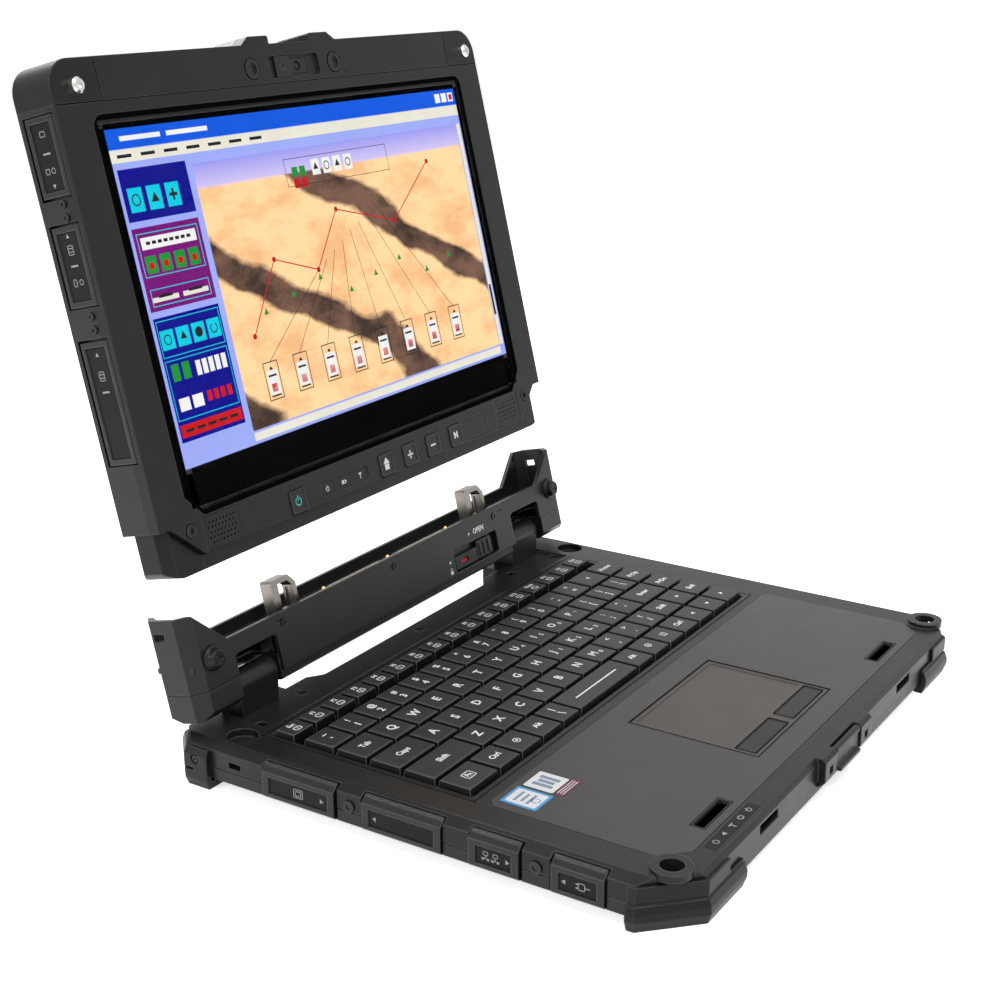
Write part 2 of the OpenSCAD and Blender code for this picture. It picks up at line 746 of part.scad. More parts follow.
// Catch that hangs in the front block and flips up over the tablet's edge
module front_latch() color([0.1, 0.1, 0.105]) difference() {
    w = latch_w / 2;
    union() {
        translate([-w, front_y - latch_y, latch_z]) rotate([0, 90, 0]) cylinder(h = latch_w, r = 1.9);
        block([-w, front_y - latch_y - latch_plate, latch_z - latch_len],
            [w, front_y - latch_y + 1.1, latch_z]);
        // nub that hooks into the tablet, also the finger grip
        along_x(-w + 2, w - 2) translate([front_y - latch_y - latch_plate, latch_z - latch_len])
            polygon([[0, 0], [-nub_out, 0.4], [-nub_out, nub_w - 0.8], [0, nub_w]]);
    }
    translate([-w - 1, front_y - latch_y, latch_z]) rotate([0, 90, 0])
        cylinder(h = latch_w + 2, r = latch_pin_r + run_gap);
}

module front_latch_pin() color([0.6, 0.6, 0.62]) {
    w = latch_w / 2 + latch_side + pin_seat - slip;
    translate([-w, front_y - latch_y, latch_z]) rotate([0, 90, 0]) cylinder(h = 2 * w, r = latch_pin_r);
}

// ---------------------------------------------------------------- covers of the dock ports

// One port cover: a frame that wraps over the deck's bevel, with a sunk face
module dock_cover(c) color([0.1, 0.1, 0.105]) difference() {
    x0 = -side_x - cover_out;
    x1 = -side_x + cover_x;
    y0 = hinge_y - c[1] + (c[2] < 0 ? 0.3 : 0.9);
    y1 = hinge_y - c[0] - (c[2] < 0 ? 0.9 : 0.3);
    union() {
        along_y(y0, y1) polygon([[x0 + 1.2, cover_z], [x1 - 0.4, cover_z], [x1 - 0.4, deck_z - 1.6],
            [x1 - 1.2, deck_z - 0.9], [x0 + 2.4, deck_z - 2.4], [x0, deck_z - 4.4], [x0, cover_z + 1.2]]);
    }
    // sunk face inside the frame
    block([x0 - 1, y0 + 3.4, cover_z + 2.6], [x0 + 0.8, y1 - 3.4, deck_z - 6.6]);
    // hollow at the back that clears the sockets
    block([x1 - 1.6, y0 + 2, cover_z + 2], [x1 + 1, y1 - 2, deck_z - 4]);
}

module dock_cover_1() dock_cover(COVERS[0]);
module dock_cover_2() dock_cover(COVERS[1]);
module dock_cover_3() dock_cover(COVERS[2]);
module dock_cover_4() dock_cover(COVERS[3]);

// ---------------------------------------------------------------- cradle

// Front plate of the cradle with its pockets and the ears' slopes
module cradle_face() {
    px0 = hinge_x - pocket_w / 2;
    px1 = hinge_x + pocket_w / 2;
    both_sides() polygon([[0, -1.5], [px0, -1.5], [px0, pocket_s], [px0 + 2, pocket_s + 1.5],
        [px1 - 2, pocket_s + 1.5], [px1, pocket_s], [px1, low_s + slip], [ear_x, low_s + slip],
        [ear_x, ear_s], [ear_x - ear_top, ear_s], [ear_x - ear_in, rim_s], [0, rim_s]]);
}

// Cross-section of an ear, X by Z, grown inwards by g
module ear_ring(g) {
    x0 = ear_x - ear_in - 2;
    f = face_n - g;
    r = rear_n + g;
    w = ear_x - g;
    k = 0.414 * g;
    polygon([[x0, f], [w - 6.2 + k, f], [w, f - 6.2 + k], [w, r + 5.6 - k], [w - 5.6 + k, r], [x0, r]]);
}

module cradle_ears() both_sides() intersection() {
    difference() {
        along_y(low_s + slip, ear_s) ear_ring(0);
        along_y(low_s - 1, ear_s + 1) ear_ring(cradle_wall);
    }
    along_z(rear_n - 1, face_n + 1) polygon([[ear_x - ear_in - 1, 0], [ear_x + 1, 0],
        [ear_x + 1, ear_s], [ear_x - ear_top, ear_s], [ear_x - ear_in - 1, rim_s - 0.9]]);
}

module cradle_housing() color([0.14, 0.14, 0.145]) lid() {
    difference() {
        union() {
            intersection() {
                along_z(lip_n, face_n) cradle_face();
                along_y(-3, ear_s + 1) both_sides() polygon([[0, lip_n - 5], [ear_x, lip_n - 5],
                    [ear_x, face_n - 6.2], [ear_x - 6.2, face_n], [0, face_n]]);
            }
            cradle_ears();
            // rear wall
            block([-ear_x + ear_in - 2, low_s + slip, rear_n],
                [ear_x - ear_in + 2, rim_s, rear_n + cradle_wall]);
            // floor of the channel, front to rear
            block([-ear_x + 2, floor_s - floor_plate, rear_n + 2], [ear_x - 2, floor_s, lip_n + 0.1]);
            // guide behind the window of the sliders
            block([WINDOW[0] - 2, WINDOW[2] - 1, 4.6], [WINDOW[1] + 2, WINDOW[3] + 5, 6.6]);
        }
        window_cut();
        // opening for the docking connector
        block([-connector_x - slip, floor_s - floor_plate - 1, connector_n[0] - slip],
            [connector_x + slip, floor_s + 1, connector_n[1] + slip]);
        // slots for the hooks
        for (x = [-hook_x, hook_x])
            block([x - hook_w / 2 - slip, floor_s - floor_plate - 1, hook_n[0] - slip],
                [x + hook_w / 2 + release_travel + slip, floor_s + 1, hook_n[1] + slip]);
        // slots near the tops of the ears
        both_sides() block([ear_x - 5, ear_s - 10, -10.2], [ear_x + 1, ear_s - 6.4, -3.6]);
        // seats of the stop knobs and small marks on the face
        both_sides() translate([post_x, stop_s, face_n - 0.5]) cylinder(h = 2, r = 6 + run_gap);
        for (x = [18.5 - hinge_x, hinge_x - 25.5])
            block([x - 3, 21.5, face_n - 0.5], [x + 3, 22.5, face_n + 1]);
        along_z(lip_n - 1, face_n + 1) cradle_screw_plan(1.1);
    }
    // lugs that stand round the hinge pins' bosses
    both_sides() block([hinge_x - pocket_w / 2 - boss_w, low_s + slip, -4],
        [hinge_x - pocket_w / 2 - 1, floor_s - floor_plate + 0.1, 4]);
}

// Window in the face and the release slider's slot in the guide
module window_cut() {
    along_z(lip_n - 0.5, face_n + 1) cut_box([WINDOW[0], WINDOW[2]], [WINDOW[1], WINDOW[3]], 0.8);
    block([hook_x - 15.5, bar_s - 0.4, 0], [hook_x - 5.5 + release_travel, bar_s + bar_h + 0.4, face_n]);
}

// Holes of the cradle's face screws
module cradle_screw_plan(r) {
    for (x = FACE_SCREWS) translate([x, rim_s - 5.5]) circle(r);
}

// Cross-section of the lower cover, Y by Z of the lid frame, grown inwards by g
module low_plan(g = 0) {
    polygon([[low_s, face_n - g], [-3.5 + 0.6 * g, face_n - g], [-6.8 + g, 5.8 - 0.4 * g],
        [-6.8 + g, -5 + 0.3 * g], [-4 + g, -12.5 + g], [0.8, rear_n + 1 + g], [3, rear_n + g],
        [low_s, rear_n + g]]);
}

module cradle_lower_cover() color([0.12, 0.12, 0.125]) lid() {
    px0 = hinge_x - pocket_w / 2;
    px1 = hinge_x + pocket_w / 2;
    difference() {
        union() {
            // long middle part behind the face
            intersection() {
                along_x(-px0, px0) low_plan();
                block([-px0, -10, rear_n - 1], [px0, low_s, lip_n - slip]);
            }
            // ends under the ears
            both_sides() intersection() {
                along_x(px1, ear_x) low_plan();
                along_y(-10, low_s + 1) ear_ring(0);
            }
            // strip behind the hinge blocks joins the three parts
            along_x(-px1 - 1, px1 + 1) polygon([[low_s, -barrel_r - 1.4], [4, -barrel_r - 3.4],
                [1.5, rear_n + 1.2], [3, rear_n], [low_s, rear_n]]);
        }
        // hollow of the middle part
        intersection() {
            along_x(-px0 + boss_w, px0 - boss_w) low_plan(2);
            block([-px0, -10, rear_n + 2], [px0, low_s + 1, lip_n - 2.6]);
        }
        along_x(-px0 + boss_w, px0 - boss_w)
            translate([low_s - 1, rear_n + 2]) square([3, lip_n - rear_n - 4.6]);
        // hollows of the ends
        both_sides() intersection() {
            along_x(px1 + boss_w, ear_x - 2) low_plan(2);
            along_y(-10, low_s + 2) ear_ring(2.2);
        }
        both_sides() block([px1 + boss_w, low_s - 1, rear_n + 6], [ear_x - 5, low_s + 1, face_n - 6]);
        // notch round the guide of the sliders
        block([WINDOW[0] - 2 - slip, WINDOW[2] - 1 - slip, lip_n - 3],
            [WINDOW[1] + 2 + slip, low_s + 1, face_n + 1]);
        // bores of the hinge pins
        both_sides() translate([px0 - boss_w, 0, 0]) rotate([0, 90, 0])
            cylinder(h = pocket_w + 2 * boss_w - 1, r = pin_r + 0.02);
    }
}

module hinge_pins() color([0.62, 0.62, 0.64]) lid() both_sides()
    translate([hinge_x - pocket_w / 2 - boss_w + 0.5, 0, 0]) rotate([0, 90, 0])
        cylinder(h = pocket_w + 2 * boss_w - 2, r = pin_r);

// Connector that stands up in the channel between the hooks
module docking_connector() color([0.3, 0.3, 0.31]) lid() {
    difference() {
        union() {
            block([-connector_x, floor_s - floor_plate - 3, connector_n[0]],
                [connector_x, floor_s, connector_n[1]]);
            block([-connector_x - 3.3, floor_s - floor_plate - 3, connector_n[0] - 1],
                [connector_x + 3.3, floor_s - floor_plate, connector_n[1] + 1]);
            both_sides() block([6, floor_s - 1, -1.6], [connector_x - 2.7, floor_s + 4, 1.8]);
        }
        both_sides() block([8, floor_s + 2.6, -0.5], [connector_x - 4.7, floor_s + 5, 0.7]);
    }
}

// Gold contacts in the strips, guide posts and the two side contacts
module docking_contacts() color([0.85, 0.66, 0.3]) lid() {
    for (side = [-1, 1], i = [0 : floor((connector_x - 14.9) / 2.1)])
        translate([side * (10.2 + i * 2.1), floor_s + 2.6, 0.1])
            block([-0.5, 0, -0.5], [0.5, 1.7, 0.5]);
    for (x = [-1, 0, 1] * (connector_x - 1.3)) translate([x, floor_s, 0.1]) rotate([-90, 0, 0]) {
        cylinder(h = 4, r = 1.2);
        translate([0, 0, 4]) cylinder(h = 1.2, r1 = 1.2, r2 = 0.6);
    }
}

// One latch hook: a bent steel loop with a window
module hook() {
    x0 = hook_x - hook_w / 2;
    x1 = hook_x + hook_w / 2;
    top = seat_s + slot_h - 1.5;
    difference() {
        along_z(hook_n[0], hook_n[1]) polygon([[x0, bar_s], [x1, bar_s], [x1, top - 5], [x1 - 4.5, top],
            [x0 + 1, top], [x0, top - 1]]);
        // window through the loop and the hollow behind its front wall
        along_z(hook_n[0] - 1, hook_n[1] + 1) polygon([[x0 + 5, floor_s + 3], [x1 - 2.6, floor_s + 3],
            [x1 - 2.6, top - 6], [x1 - 5.6, top - 2.6], [x0 + 5, top - 2.6]]);
        block([x0 + 2, floor_s + 1, hook_n[0] + 1.6], [x1 - 1.8, top - 7, hook_n[1] - 1.6]);
    }
}

module release_bar() color([0.66, 0.64, 0.61]) lid() {
    block([-hook_x - hook_w / 2, bar_s, 0], [hook_x + hook_w / 2 - 3, bar_s + bar_h, 2]);
    hook();
    translate([-2 * hook_x, 0, 0]) hook();
}

// Thumb piece of the release, with an arm to the bar
module release_slider() color([0.13, 0.13, 0.135]) lid() {
    along_z(6.9, 9.2) cut_box([hook_x - 17.5, 1.2], [hook_x - 3, 11.3], 0.6);
    for (x = [15, 10.5, 6]) block([hook_x - x - 0.6, 2.4, 9.1], [hook_x - x + 0.6, 10, 9.9]);
    block([hook_x - 15, bar_s, 2], [hook_x - 6, bar_s + bar_h, 7]);
}

module lock_slider() color([0.12, 0.12, 0.125]) lid() difference() {
    along_z(6.9, 9.2) cut_box([hook_x - 39.5, 1], [hook_x - 18.2, 8.4], 0.6);
    block([hook_x - 34, 3, 8.2], [hook_x - 27, 6, 10]);
}

// Rubber stop knobs that seat in the dock's rear holes
module cradle_stops() color([0.1, 0.1, 0.105]) lid() both_sides()
    translate([post_x, stop_s, face_n - 0.5]) difference() {
        rotate_extrude() polygon([[0, 0], [6, 0], [6, 1.4], [5, 2.2], [4.2, 4.8], [3.6, 5.2], [0, 5.2]]);
        translate([0, 0, 4.4]) for (a = [90, 210, 330]) rotate([0, 0, a]) block([-0.4, 0, 0], [0.4, 2.8, 2]);
    }

module cradle_screws() color([0.3, 0.3, 0.31]) lid()
    for (x = FACE_SCREWS) translate([x, rim_s - 5.5, face_n]) screw(2, 0.5, cradle_wall);

// ---------------------------------------------------------------- tablet

// Front outline of the tablet, drawn inwards by g
module tablet_plan(g = 0) {
    w = tablet_w / 2 - g;
    round_box([-w, g], [w, tablet_h - g], tablet_r - g);
}

// The hump over the camera, with the notch for the dock's catch
module hump_plan() {
    both_sides() polygon([[notch_x, tablet_h - 2], [notch_x, tablet_h + hump_h - 0.8], [notch_x + 0.8, tablet_h + hump_h],
        [hump_x, tablet_h + hump_h], [hump_x + 6, tablet_h], [hump_x + 6, tablet_h - 2]]);
}

// Lower corners under the slopes of the cradle's ears, grown by g
module ear_corners(g = 0) both_sides() {
    c = ear_gap + g;
    x0 = ear_x - ear_in - c;
    polygon([[x0, -1], [x0, rim_s - seat_s + c], [ear_x - ear_top - c, ear_s - seat_s + c],
        [ear_x + 1, ear_s - seat_s + c], [ear_x + 1, -1]]);
}

// What fits between the cradle's ears, all along the way out
module between_ears() translate([0, 0, -face_n]) both_sides()
    along_y(-1, tablet_h) ear_ring(cradle_wall + seat_gap);

// Upper corners that the rubber guards cover, drawn in by g
module guard_corners(g = 0) both_sides()
    translate([guard_x + g, tablet_h - guard_y + g]) square([tablet_w, tablet_h]);

// Both housing parts have their corners cut back under the rubber
module corner_cuts(z0, z1) {
    difference() {
        along_z(z0, z1) union() {
            guard_corners();
            ear_corners();
        }
        corner_core(0);
    }
}

// The housing's corners inside the rubber, grown inwards by g
module corner_core(g) {
    along_z(-tablet_t + guard_t - g, -step_z - guard_t + g)
        tablet_plan(cradle_wall + seat_gap + guard_t - 0.8 - g);
}

module hook_slots() {
    for (x = [-hook_x, hook_x])
        block([x - hook_w / 2 - 1.5, -1, hook_n[0] - face_n - 1], [x + hook_w / 2 + release_travel + 1.5,
            slot_h, hook_n[1] - face_n + 1]);
}

module connector_slot() block([-connector_x - 5.3, -1, connector_n[0] - face_n - 0.6],
    [connector_x + 5.3, 6.4, connector_n[1] - face_n + 0.6]);

// Pocket behind it that holds the socket block, up to a height
module socket_pocket(z1) block([-connector_x - 1.9, 5, receptacle_z[0] - 0.1], [connector_x + 1.9, 17, z1]);

// Notches in the left side for the three doors
module door_notches(g = 0) {
    for (d = DOORS)
        block([-tablet_w / 2 - 1, tablet_h - d[1] - g, -tablet_t + door_z - g],
            [-tablet_w / 2 + door_t + g, tablet_h - d[0] + g, -door_z + g]);
}

// Pocket in the tablet's top edge that takes the latch's nub when it is flipped up
module catch_pocket() {
    reach = latch_z + latch_len - (hinge_z - face_n);
    block([-latch_w / 2 - 0.6, tablet_h - nub_out - 1, -reach - 1.2],
        [latch_w / 2 + 0.6, tablet_h + 1, -reach + nub_w + 0.6]);
}

module tablet_rear() color([0.14, 0.14, 0.145]) on_tablet() {
    z1 = -bezel_t;
    difference() {
        union() {
            along_z(-tablet_t, z1) tablet_plan();
            along_z(-tablet_t + 3, z1) hump_plan();
        }
        // hollow, with walls all round
        difference() {
            along_z(-tablet_t + tablet_wall, z1 + 1) tablet_plan(tablet_wall + door_t + 1);
            // walls round the battery bay, the hook slots and the connector
            block([-battery_w / 2 - 2.4, battery_y - 2.4, -tablet_t],
                [battery_w / 2 + 2.4, battery_y + battery_h + 2.4, -tablet_t + battery_t + 2]);
            block([-hook_x - 22, 0, -tablet_t], [hook_x + 22, slot_h + 1.6, z1 + 2]);
        }
        battery_bay();
        hook_slots();
        connector_slot();
        socket_pocket(z1 + 1);
        corner_cuts(-tablet_t - 1, z1 + 1);
        door_notches(slip);
        catch_pocket();
        // shallow ribs of the back
        for (x = [-110 : 20 : 110])
            block([x - 5, tablet_h - 62, -tablet_t - 1], [x + 5, tablet_h - 26, -tablet_t + 0.6]);
        block([-13.4, battery_y + battery_h + 5.6, -tablet_t - 1],
            [19.4, battery_y + battery_h + 15, -tablet_t + 1.6]);
    }
    // posts under the circuit board
    for (x = [-120, 0, 120], y = [main_y + 12, tablet_h - 30])
        translate([x, y, -tablet_t + tablet_wall - 0.1]) cylinder(h = 4.1, r = 3);
}

module battery_bay() block([-battery_w / 2 - slip, battery_y - slip, -tablet_t - 1],
    [battery_w / 2 + slip, battery_y + battery_h + slip, -tablet_t + battery_t + slip]);

module tablet_battery() color([0.12, 0.12, 0.125]) on_tablet() difference() {
    block([-battery_w / 2, battery_y, -tablet_t],
        [battery_w / 2, battery_y + battery_h, -tablet_t + battery_t]);
    for (x = [-70 : 20 : 70])
        block([x - 5, battery_y + 12, -tablet_t - 1], [x + 5, battery_y + 30, -tablet_t + 0.6]);
    block([-13, battery_y + battery_h - 4, -tablet_t - 1], [13, battery_y + battery_h + 1, -tablet_t + 1.4]);
}

module battery_latch() color([0.11, 0.11, 0.115]) on_tablet() {
    y = battery_y + battery_h;
    block([-13, y + 6, -tablet_t - 0.3], [11, y + 14.6, -tablet_t + 1.3]);
    for (x = [-6 : 4 : 6]) block([x - 0.6, y + 7.2, -tablet_t - 0.9], [x + 0.6, y + 13.4, -tablet_t - 0.2]);
}

module tablet_bezel() color([0.15, 0.15, 0.155]) on_tablet() {
    gy = tablet_h - glass_top;
    difference() {
        union() {
            along_z(-bezel_t, 0) tablet_plan();
            along_z(-bezel_t, 0) hump_plan();
        }
        // seat of the glass, of the display panel and the opening behind it
        along_z(-glass_t - 0.3, 1) glass_plan(0.25);
        block([-picture_w / 2 - 3, glass_bottom + 4, -bezel_t - 1], [picture_w / 2 + 3, gy - 4, 1]);
        // step that slides behind the cradle's rim
        along_z(-step_z, 1) union() {
            translate([-tablet_w, -1]) square([2 * tablet_w, step_y + 1]);
            ear_corners();
        }
        corner_cuts(-bezel_t - 1, 1);
        for (i = [0 : 4]) button_pocket(BUTTONS[i]);
        // status panel and bracket-shaped recess
        along_z(-0.5, 1) cut_box([-52, button_y - 3.6], [-12, button_y + 3.6], 1.5);
        along_z(-0.5, 1) difference() {
            cut_box([80, button_y - 6], [101, button_y + 6], 1);
            translate([79, button_y - 5.4]) square([21.4, 10.8]);
        }
        // camera window and the slider's track
        along_z(-1.6, 1) cut_box([-20, boss_y - 5.5], [20, boss_y + 5.5], 1.6);
        block([-12, boss_y - 4, -bezel_t - 1], [12, boss_y + 4, 0]);
        // speaker openings
        both_sides()
            block([grille_x - 12.6, grille_y - 8.2, -bezel_t - 1], [grille_x + 12.6, grille_y + 8.2, 1]);
        // round recesses beside the camera and in the lower corners
        both_sides() translate([boss_x, boss_y, -1]) cylinder(h = 2, r = 5.6);
        translate([41, boss_y - 5, -1]) cylinder(h = 2, r = 0.7);
        both_sides() translate([foot_screw[0], foot_screw[1], -1]) cylinder(h = 2, r = 3.4);
        hook_slots();
        connector_slot();
        socket_pocket(receptacle_z[1] + 0.3);
        door_notches(slip);
        catch_pocket();
    }
}

// Glass outline: round corners above, cut corners below, grown by g
module glass_plan(g) {
    gx = glass_w / 2 + g;
    y0 = glass_bottom - g;
    y1 = tablet_h - glass_top + g;
    r = 6;
    polygon([[-gx, y0 + 11], [-gx + 10, y0], [gx - 10, y0], [gx, y0 + 11], [gx, y1 - r], [-gx, y1 - r]]);
    round_box([-gx, y1 - 4 * r], [gx, y1], r);
}

module display_glass() color([0.03, 0.03, 0.035]) on_tablet()
    along_z(-glass_t - 0.3, -0.3) glass_plan(0);

module display_panel() color([0.25, 0.35, 0.6]) on_tablet() {
    w = picture_w / 2 + 2.4;
    block([-w, glass_bottom + picture_bottom - 2.4, -glass_t - 0.4 - panel_t],
        [w, tablet_h - glass_top - picture_top + 2.4, -glass_t - 0.4]);
}

// Pocket of one front button
module button_pocket(x) {
    h = button_w / 2 + slip;
    along_z(-4.6, 1) cut_box([x - h, button_y - h], [x + h, button_y + h], 1);
}

module front_button(i) color([0.12, 0.12, 0.125]) on_tablet() {
    h = button_w / 2;
    difference() {
        along_z(-3.2, 0.5) cut_box([BUTTONS[i] - h, button_y - h], [BUTTONS[i] + h, button_y + h], 0.9);
        along_z(0.2, 1)
            cut_box([BUTTONS[i] - h + 1, button_y - h + 1], [BUTTONS[i] + h - 1, button_y + h - 1], 0.5);
    }
}

module power_button() front_button(0);
module home_button() front_button(1);
module plus_button() front_button(2);
module minus_button() front_button(3);
module program_button() front_button(4);

module tablet_board() color([0.05, 0.22, 0.12]) on_tablet() {
    difference() {
        block([24.75 - tablet_w / 2, main_y, -tablet_t + tablet_wall + 4],
            [tablet_w / 2 - 24.75, tablet_h - 14, -tablet_t + tablet_wall + 5.6]);
        translate([70, tablet_h - 50, -30]) cylinder(h = 30, r = 19);
    }
    // processor, heat spreader and memory
    block([-40, main_y + 32, -tablet_t + tablet_wall + 5.6],
        [10, main_y + 72, -tablet_t + tablet_wall + 7.4]);
    block([-110, main_y + 16, -tablet_t + tablet_wall + 5.6],
        [-62, main_y + 56, -tablet_t + tablet_wall + 7]);
    // socket block of the docking connector
    difference() {
        block([-connector_x - 1.5, 6.6, receptacle_z[0] + 0.2], [connector_x + 1.5, 16.6, receptacle_z[1]]);
        both_sides()
            block([5, 5, connector_n[0] - face_n + 1], [connector_x - 1.7, 9, connector_n[1] - face_n - 1]);
    }
}

// Rubber caps on the four corners
module tablet_corners() color([0.12, 0.12, 0.125]) on_tablet() difference() {
    union() {
        along_z(-tablet_t, 0) intersection() {
            tablet_plan();
            guard_corners(skin);
        }
        intersection() {
            along_z(-tablet_t, -step_z) intersection() {
                tablet_plan();
                ear_corners(-skin);
            }
            between_ears();
        }
    }
    corner_core(skin);
    both_sides() translate([post_x, tablet_h - post_top, -step_z - guard_t + 0.8])
        cylinder(h = 20, r = post_r + 0.02);
}

module tablet_posts() color([0.7, 0.69, 0.66]) on_tablet() both_sides() {
    base = -step_z - guard_t + 0.9;
    translate([post_x, tablet_h - post_top, 0]) difference() {
        rotate_extrude() polygon([[0, base], [post_r, base], [post_r, post_out - 1],
            [post_r - 1, post_out], [0, post_out]]);
        translate([0, 0, post_out - 1.5]) cylinder(h = 3, r = 1.5, $fn = 6);
    }
}

module tablet_screws() color([0.3, 0.3, 0.31]) on_tablet() {
    both_sides() translate([boss_x, boss_y, -1]) ring_screw(5);
    both_sides() translate([foot_screw[0], foot_screw[1], -1]) ring_screw(3);
    // plates between the doors
    for (y = [63.5, 113.3], d = [-3, 3])
        translate([-tablet_w / 2, tablet_h - y + d, -9]) rotate([0, -90, 0]) side_screw(2);
    // screws of the back
    both_sides() for (y = [32, tablet_h - 30])
        translate([tablet_w / 2 - 36.75, y, -tablet_t]) rotate([180, 0, 0]) side_screw(3);
}

// Screw head in a ring
module ring_screw(r) difference() {
    cylinder(h = 1.2, r = r);
    translate([0, 0, 0.7]) cylinder(h = 1, r = r * 0.6);
    translate([0, 0, 0.3]) cylinder(h = 1, r = r * 0.4, $fn = 6);
}

// Perforated plates over the speaker openings
module speaker_grilles() color([0.12, 0.12, 0.125]) on_tablet() both_sides() difference() {
    block([grille_x - 12.4, grille_y - 8, -bezel_t], [grille_x + 12.4, grille_y + 8, -0.1]);
    block([grille_x - 11, grille_y - 6.6, -bezel_t - 1], [grille_x + 11, grille_y + 6.6, -1.2]);
    for (i = [0 : 7], j = [0 : 4])
        translate([grille_x - 9 + i * 2.4 + (j % 2) * 1.2, grille_y - 4.8 + j * 2.4, -2])
            cylinder(h = 3, r = 0.7, $fn = 6);
}

module camera_module() color([0.06, 0.06, 0.065]) on_tablet() {
    difference() {
        block([-11.7, boss_y - 3.7, -bezel_t + 0.4], [11.7, boss_y + 3.7, -1.7]);
        translate([camera_x, boss_y, -2.4]) cylinder(h = 2, r = 2.4);
    }
    translate([camera_x, boss_y, -2.5]) cylinder(h = 0.7, r1 = 2, r2 = 1.4);
}

module camera_shutter() color([0.1, 0.1, 0.105]) on_tablet() {
    x0 = camera_x - shutter_travel - shutter_w / 2;
    difference() {
        block([x0, boss_y - 5.2, -1.5], [x0 + shutter_w, boss_y + 5.2, -0.4]);
        translate([x0 + shutter_w / 2, boss_y, -0.8]) cylinder(h = 2, r = 1.6);
    }
}

// One door on the tablet's left side
module tablet_door(d) color([0.11, 0.11, 0.115]) on_tablet() {
    x0 = -tablet_w / 2;
    y0 = tablet_h - d[1] + (d[2] < 0 ? 0.3 : 0.9);
    y1 = tablet_h - d[0] - (d[2] < 0 ? 0.9 : 0.3);
    difference() {
        along_y(y0, y1) cut_box([x0, -tablet_t + door_z], [x0 + door_t + 4, -door_z], 1.2);
        block([x0 + door_t - 0.3, y0 - 1, -tablet_t], [x0 + door_t + 5, y1 + 1, 0]);
        block([x0 - 1, y0 + 2.6, -tablet_t + door_z + 3], [x0 + 0.6, y1 - 2.6, -door_z - 3]);
    }
}

module tablet_door_1() tablet_door(DOORS[2]);
module tablet_door_2() tablet_door(DOORS[1]);
module tablet_door_3() tablet_door(DOORS[0]);

module function_keys() key_row(0);
module number_keys() key_row(1);
module upper_letter_keys() key_row(2);
module home_letter_keys() key_row(3);
module lower_letter_keys() key_row(4);
module space_keys() key_row(5);

dock_bottom();
dock_top();
palm_rest_panel();
keyboard_plate();
touchpad();
touchpad_button_left();
touchpad_button_right();
function_keys();
number_keys();
upper_letter_keys();
home_letter_keys();
lower_letter_keys();
space_keys();
front_corner_left();
front_corner_right();
rear_corner_left();
rear_corner_right();
dock_board();
dock_ports();
dock_feet();
dock_screws();
hinge_block_left();
hinge_block_right();
front_latch();
front_latch_pin();
dock_cover_1();
dock_cover_2();
dock_cover_3();
dock_cover_4();
cradle_housing();
cradle_lower_cover();
hinge_pins();
docking_connector();
docking_contacts();
release_slider();
release_bar();
lock_slider();
cradle_stops();
cradle_screws();
tablet_rear();
tablet_bezel();
display_glass();
display_panel();
tablet_board();
tablet_battery();
battery_latch();
tablet_corners();
tablet_posts();
tablet_screws();
speaker_grilles();
camera_module();
camera_shutter();
power_button();
home_button();
plus_button();
minus_button();
program_button();
tablet_door_1();
tablet_door_2();
tablet_door_3();
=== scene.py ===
# %% [markdown]
# # Dressing a rugged convertible laptop
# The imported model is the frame: every housing part, key and hinge is already there at its real size.
# This lesson gives each of them a finish, adds the printed marks, the picture behind the glass and the
# small moulded details, and then sets up the light and the camera. All lengths are in metres.

# %% Load the frame
import json
import math

import bpy
from mathutils import Matrix, Vector


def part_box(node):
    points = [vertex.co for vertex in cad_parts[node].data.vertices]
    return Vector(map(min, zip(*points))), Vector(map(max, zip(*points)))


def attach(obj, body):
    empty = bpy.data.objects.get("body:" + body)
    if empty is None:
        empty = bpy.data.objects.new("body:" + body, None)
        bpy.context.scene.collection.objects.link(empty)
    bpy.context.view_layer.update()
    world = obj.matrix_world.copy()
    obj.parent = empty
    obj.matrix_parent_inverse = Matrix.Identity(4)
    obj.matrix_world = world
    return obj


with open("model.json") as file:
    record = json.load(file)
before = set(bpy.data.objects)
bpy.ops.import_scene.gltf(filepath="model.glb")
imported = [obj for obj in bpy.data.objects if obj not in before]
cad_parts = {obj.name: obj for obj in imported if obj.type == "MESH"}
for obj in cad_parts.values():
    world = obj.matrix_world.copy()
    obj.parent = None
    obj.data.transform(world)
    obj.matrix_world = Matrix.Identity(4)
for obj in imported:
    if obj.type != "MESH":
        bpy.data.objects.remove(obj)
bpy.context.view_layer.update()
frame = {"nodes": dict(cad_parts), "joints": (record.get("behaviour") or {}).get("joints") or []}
MM = 0.001

# %% [markdown]
# The cradle and the tablet lean back. Their pieces are easiest to model lying flat, in a frame with X to
# the right, Y up along the tablet and Z out of the screen, and to turn into place at the end. The hinge
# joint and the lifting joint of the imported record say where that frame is, so nothing is typed twice.

# %% The leaning frame
joints = {j["name"]: j for j in frame["joints"]}
hinge = Vector(joints["cradle_hinge"]["pos_m"])
up_tablet = Vector(joints["tablet_lift"]["axis"]).normalized()
right = Vector((1, 0, 0))
out_of_screen = right.cross(up_tablet)
lift = -joints["tablet_lift"]["range_m"][0]
CRADLE_SEAT = 20 * MM
CRADLE_FACE = 9.8 * MM


def leaning(origin):
    """Matrix of the leaning frame with its origin at a point of the model."""
    turn = Matrix((right, up_tablet, out_of_screen)).transposed().to_4x4()
    return Matrix.Translation(origin) @ turn


CRADLE = leaning(hinge + out_of_screen * CRADLE_FACE)
TABLET = leaning(hinge + out_of_screen * CRADLE_FACE + up_tablet * (CRADLE_SEAT + lift))
FLAT = Matrix.Identity(4)
lean = math.degrees(math.atan2(up_tablet.y, up_tablet.z))
print("lean of the tablet:", round(lean, 2), "degrees")


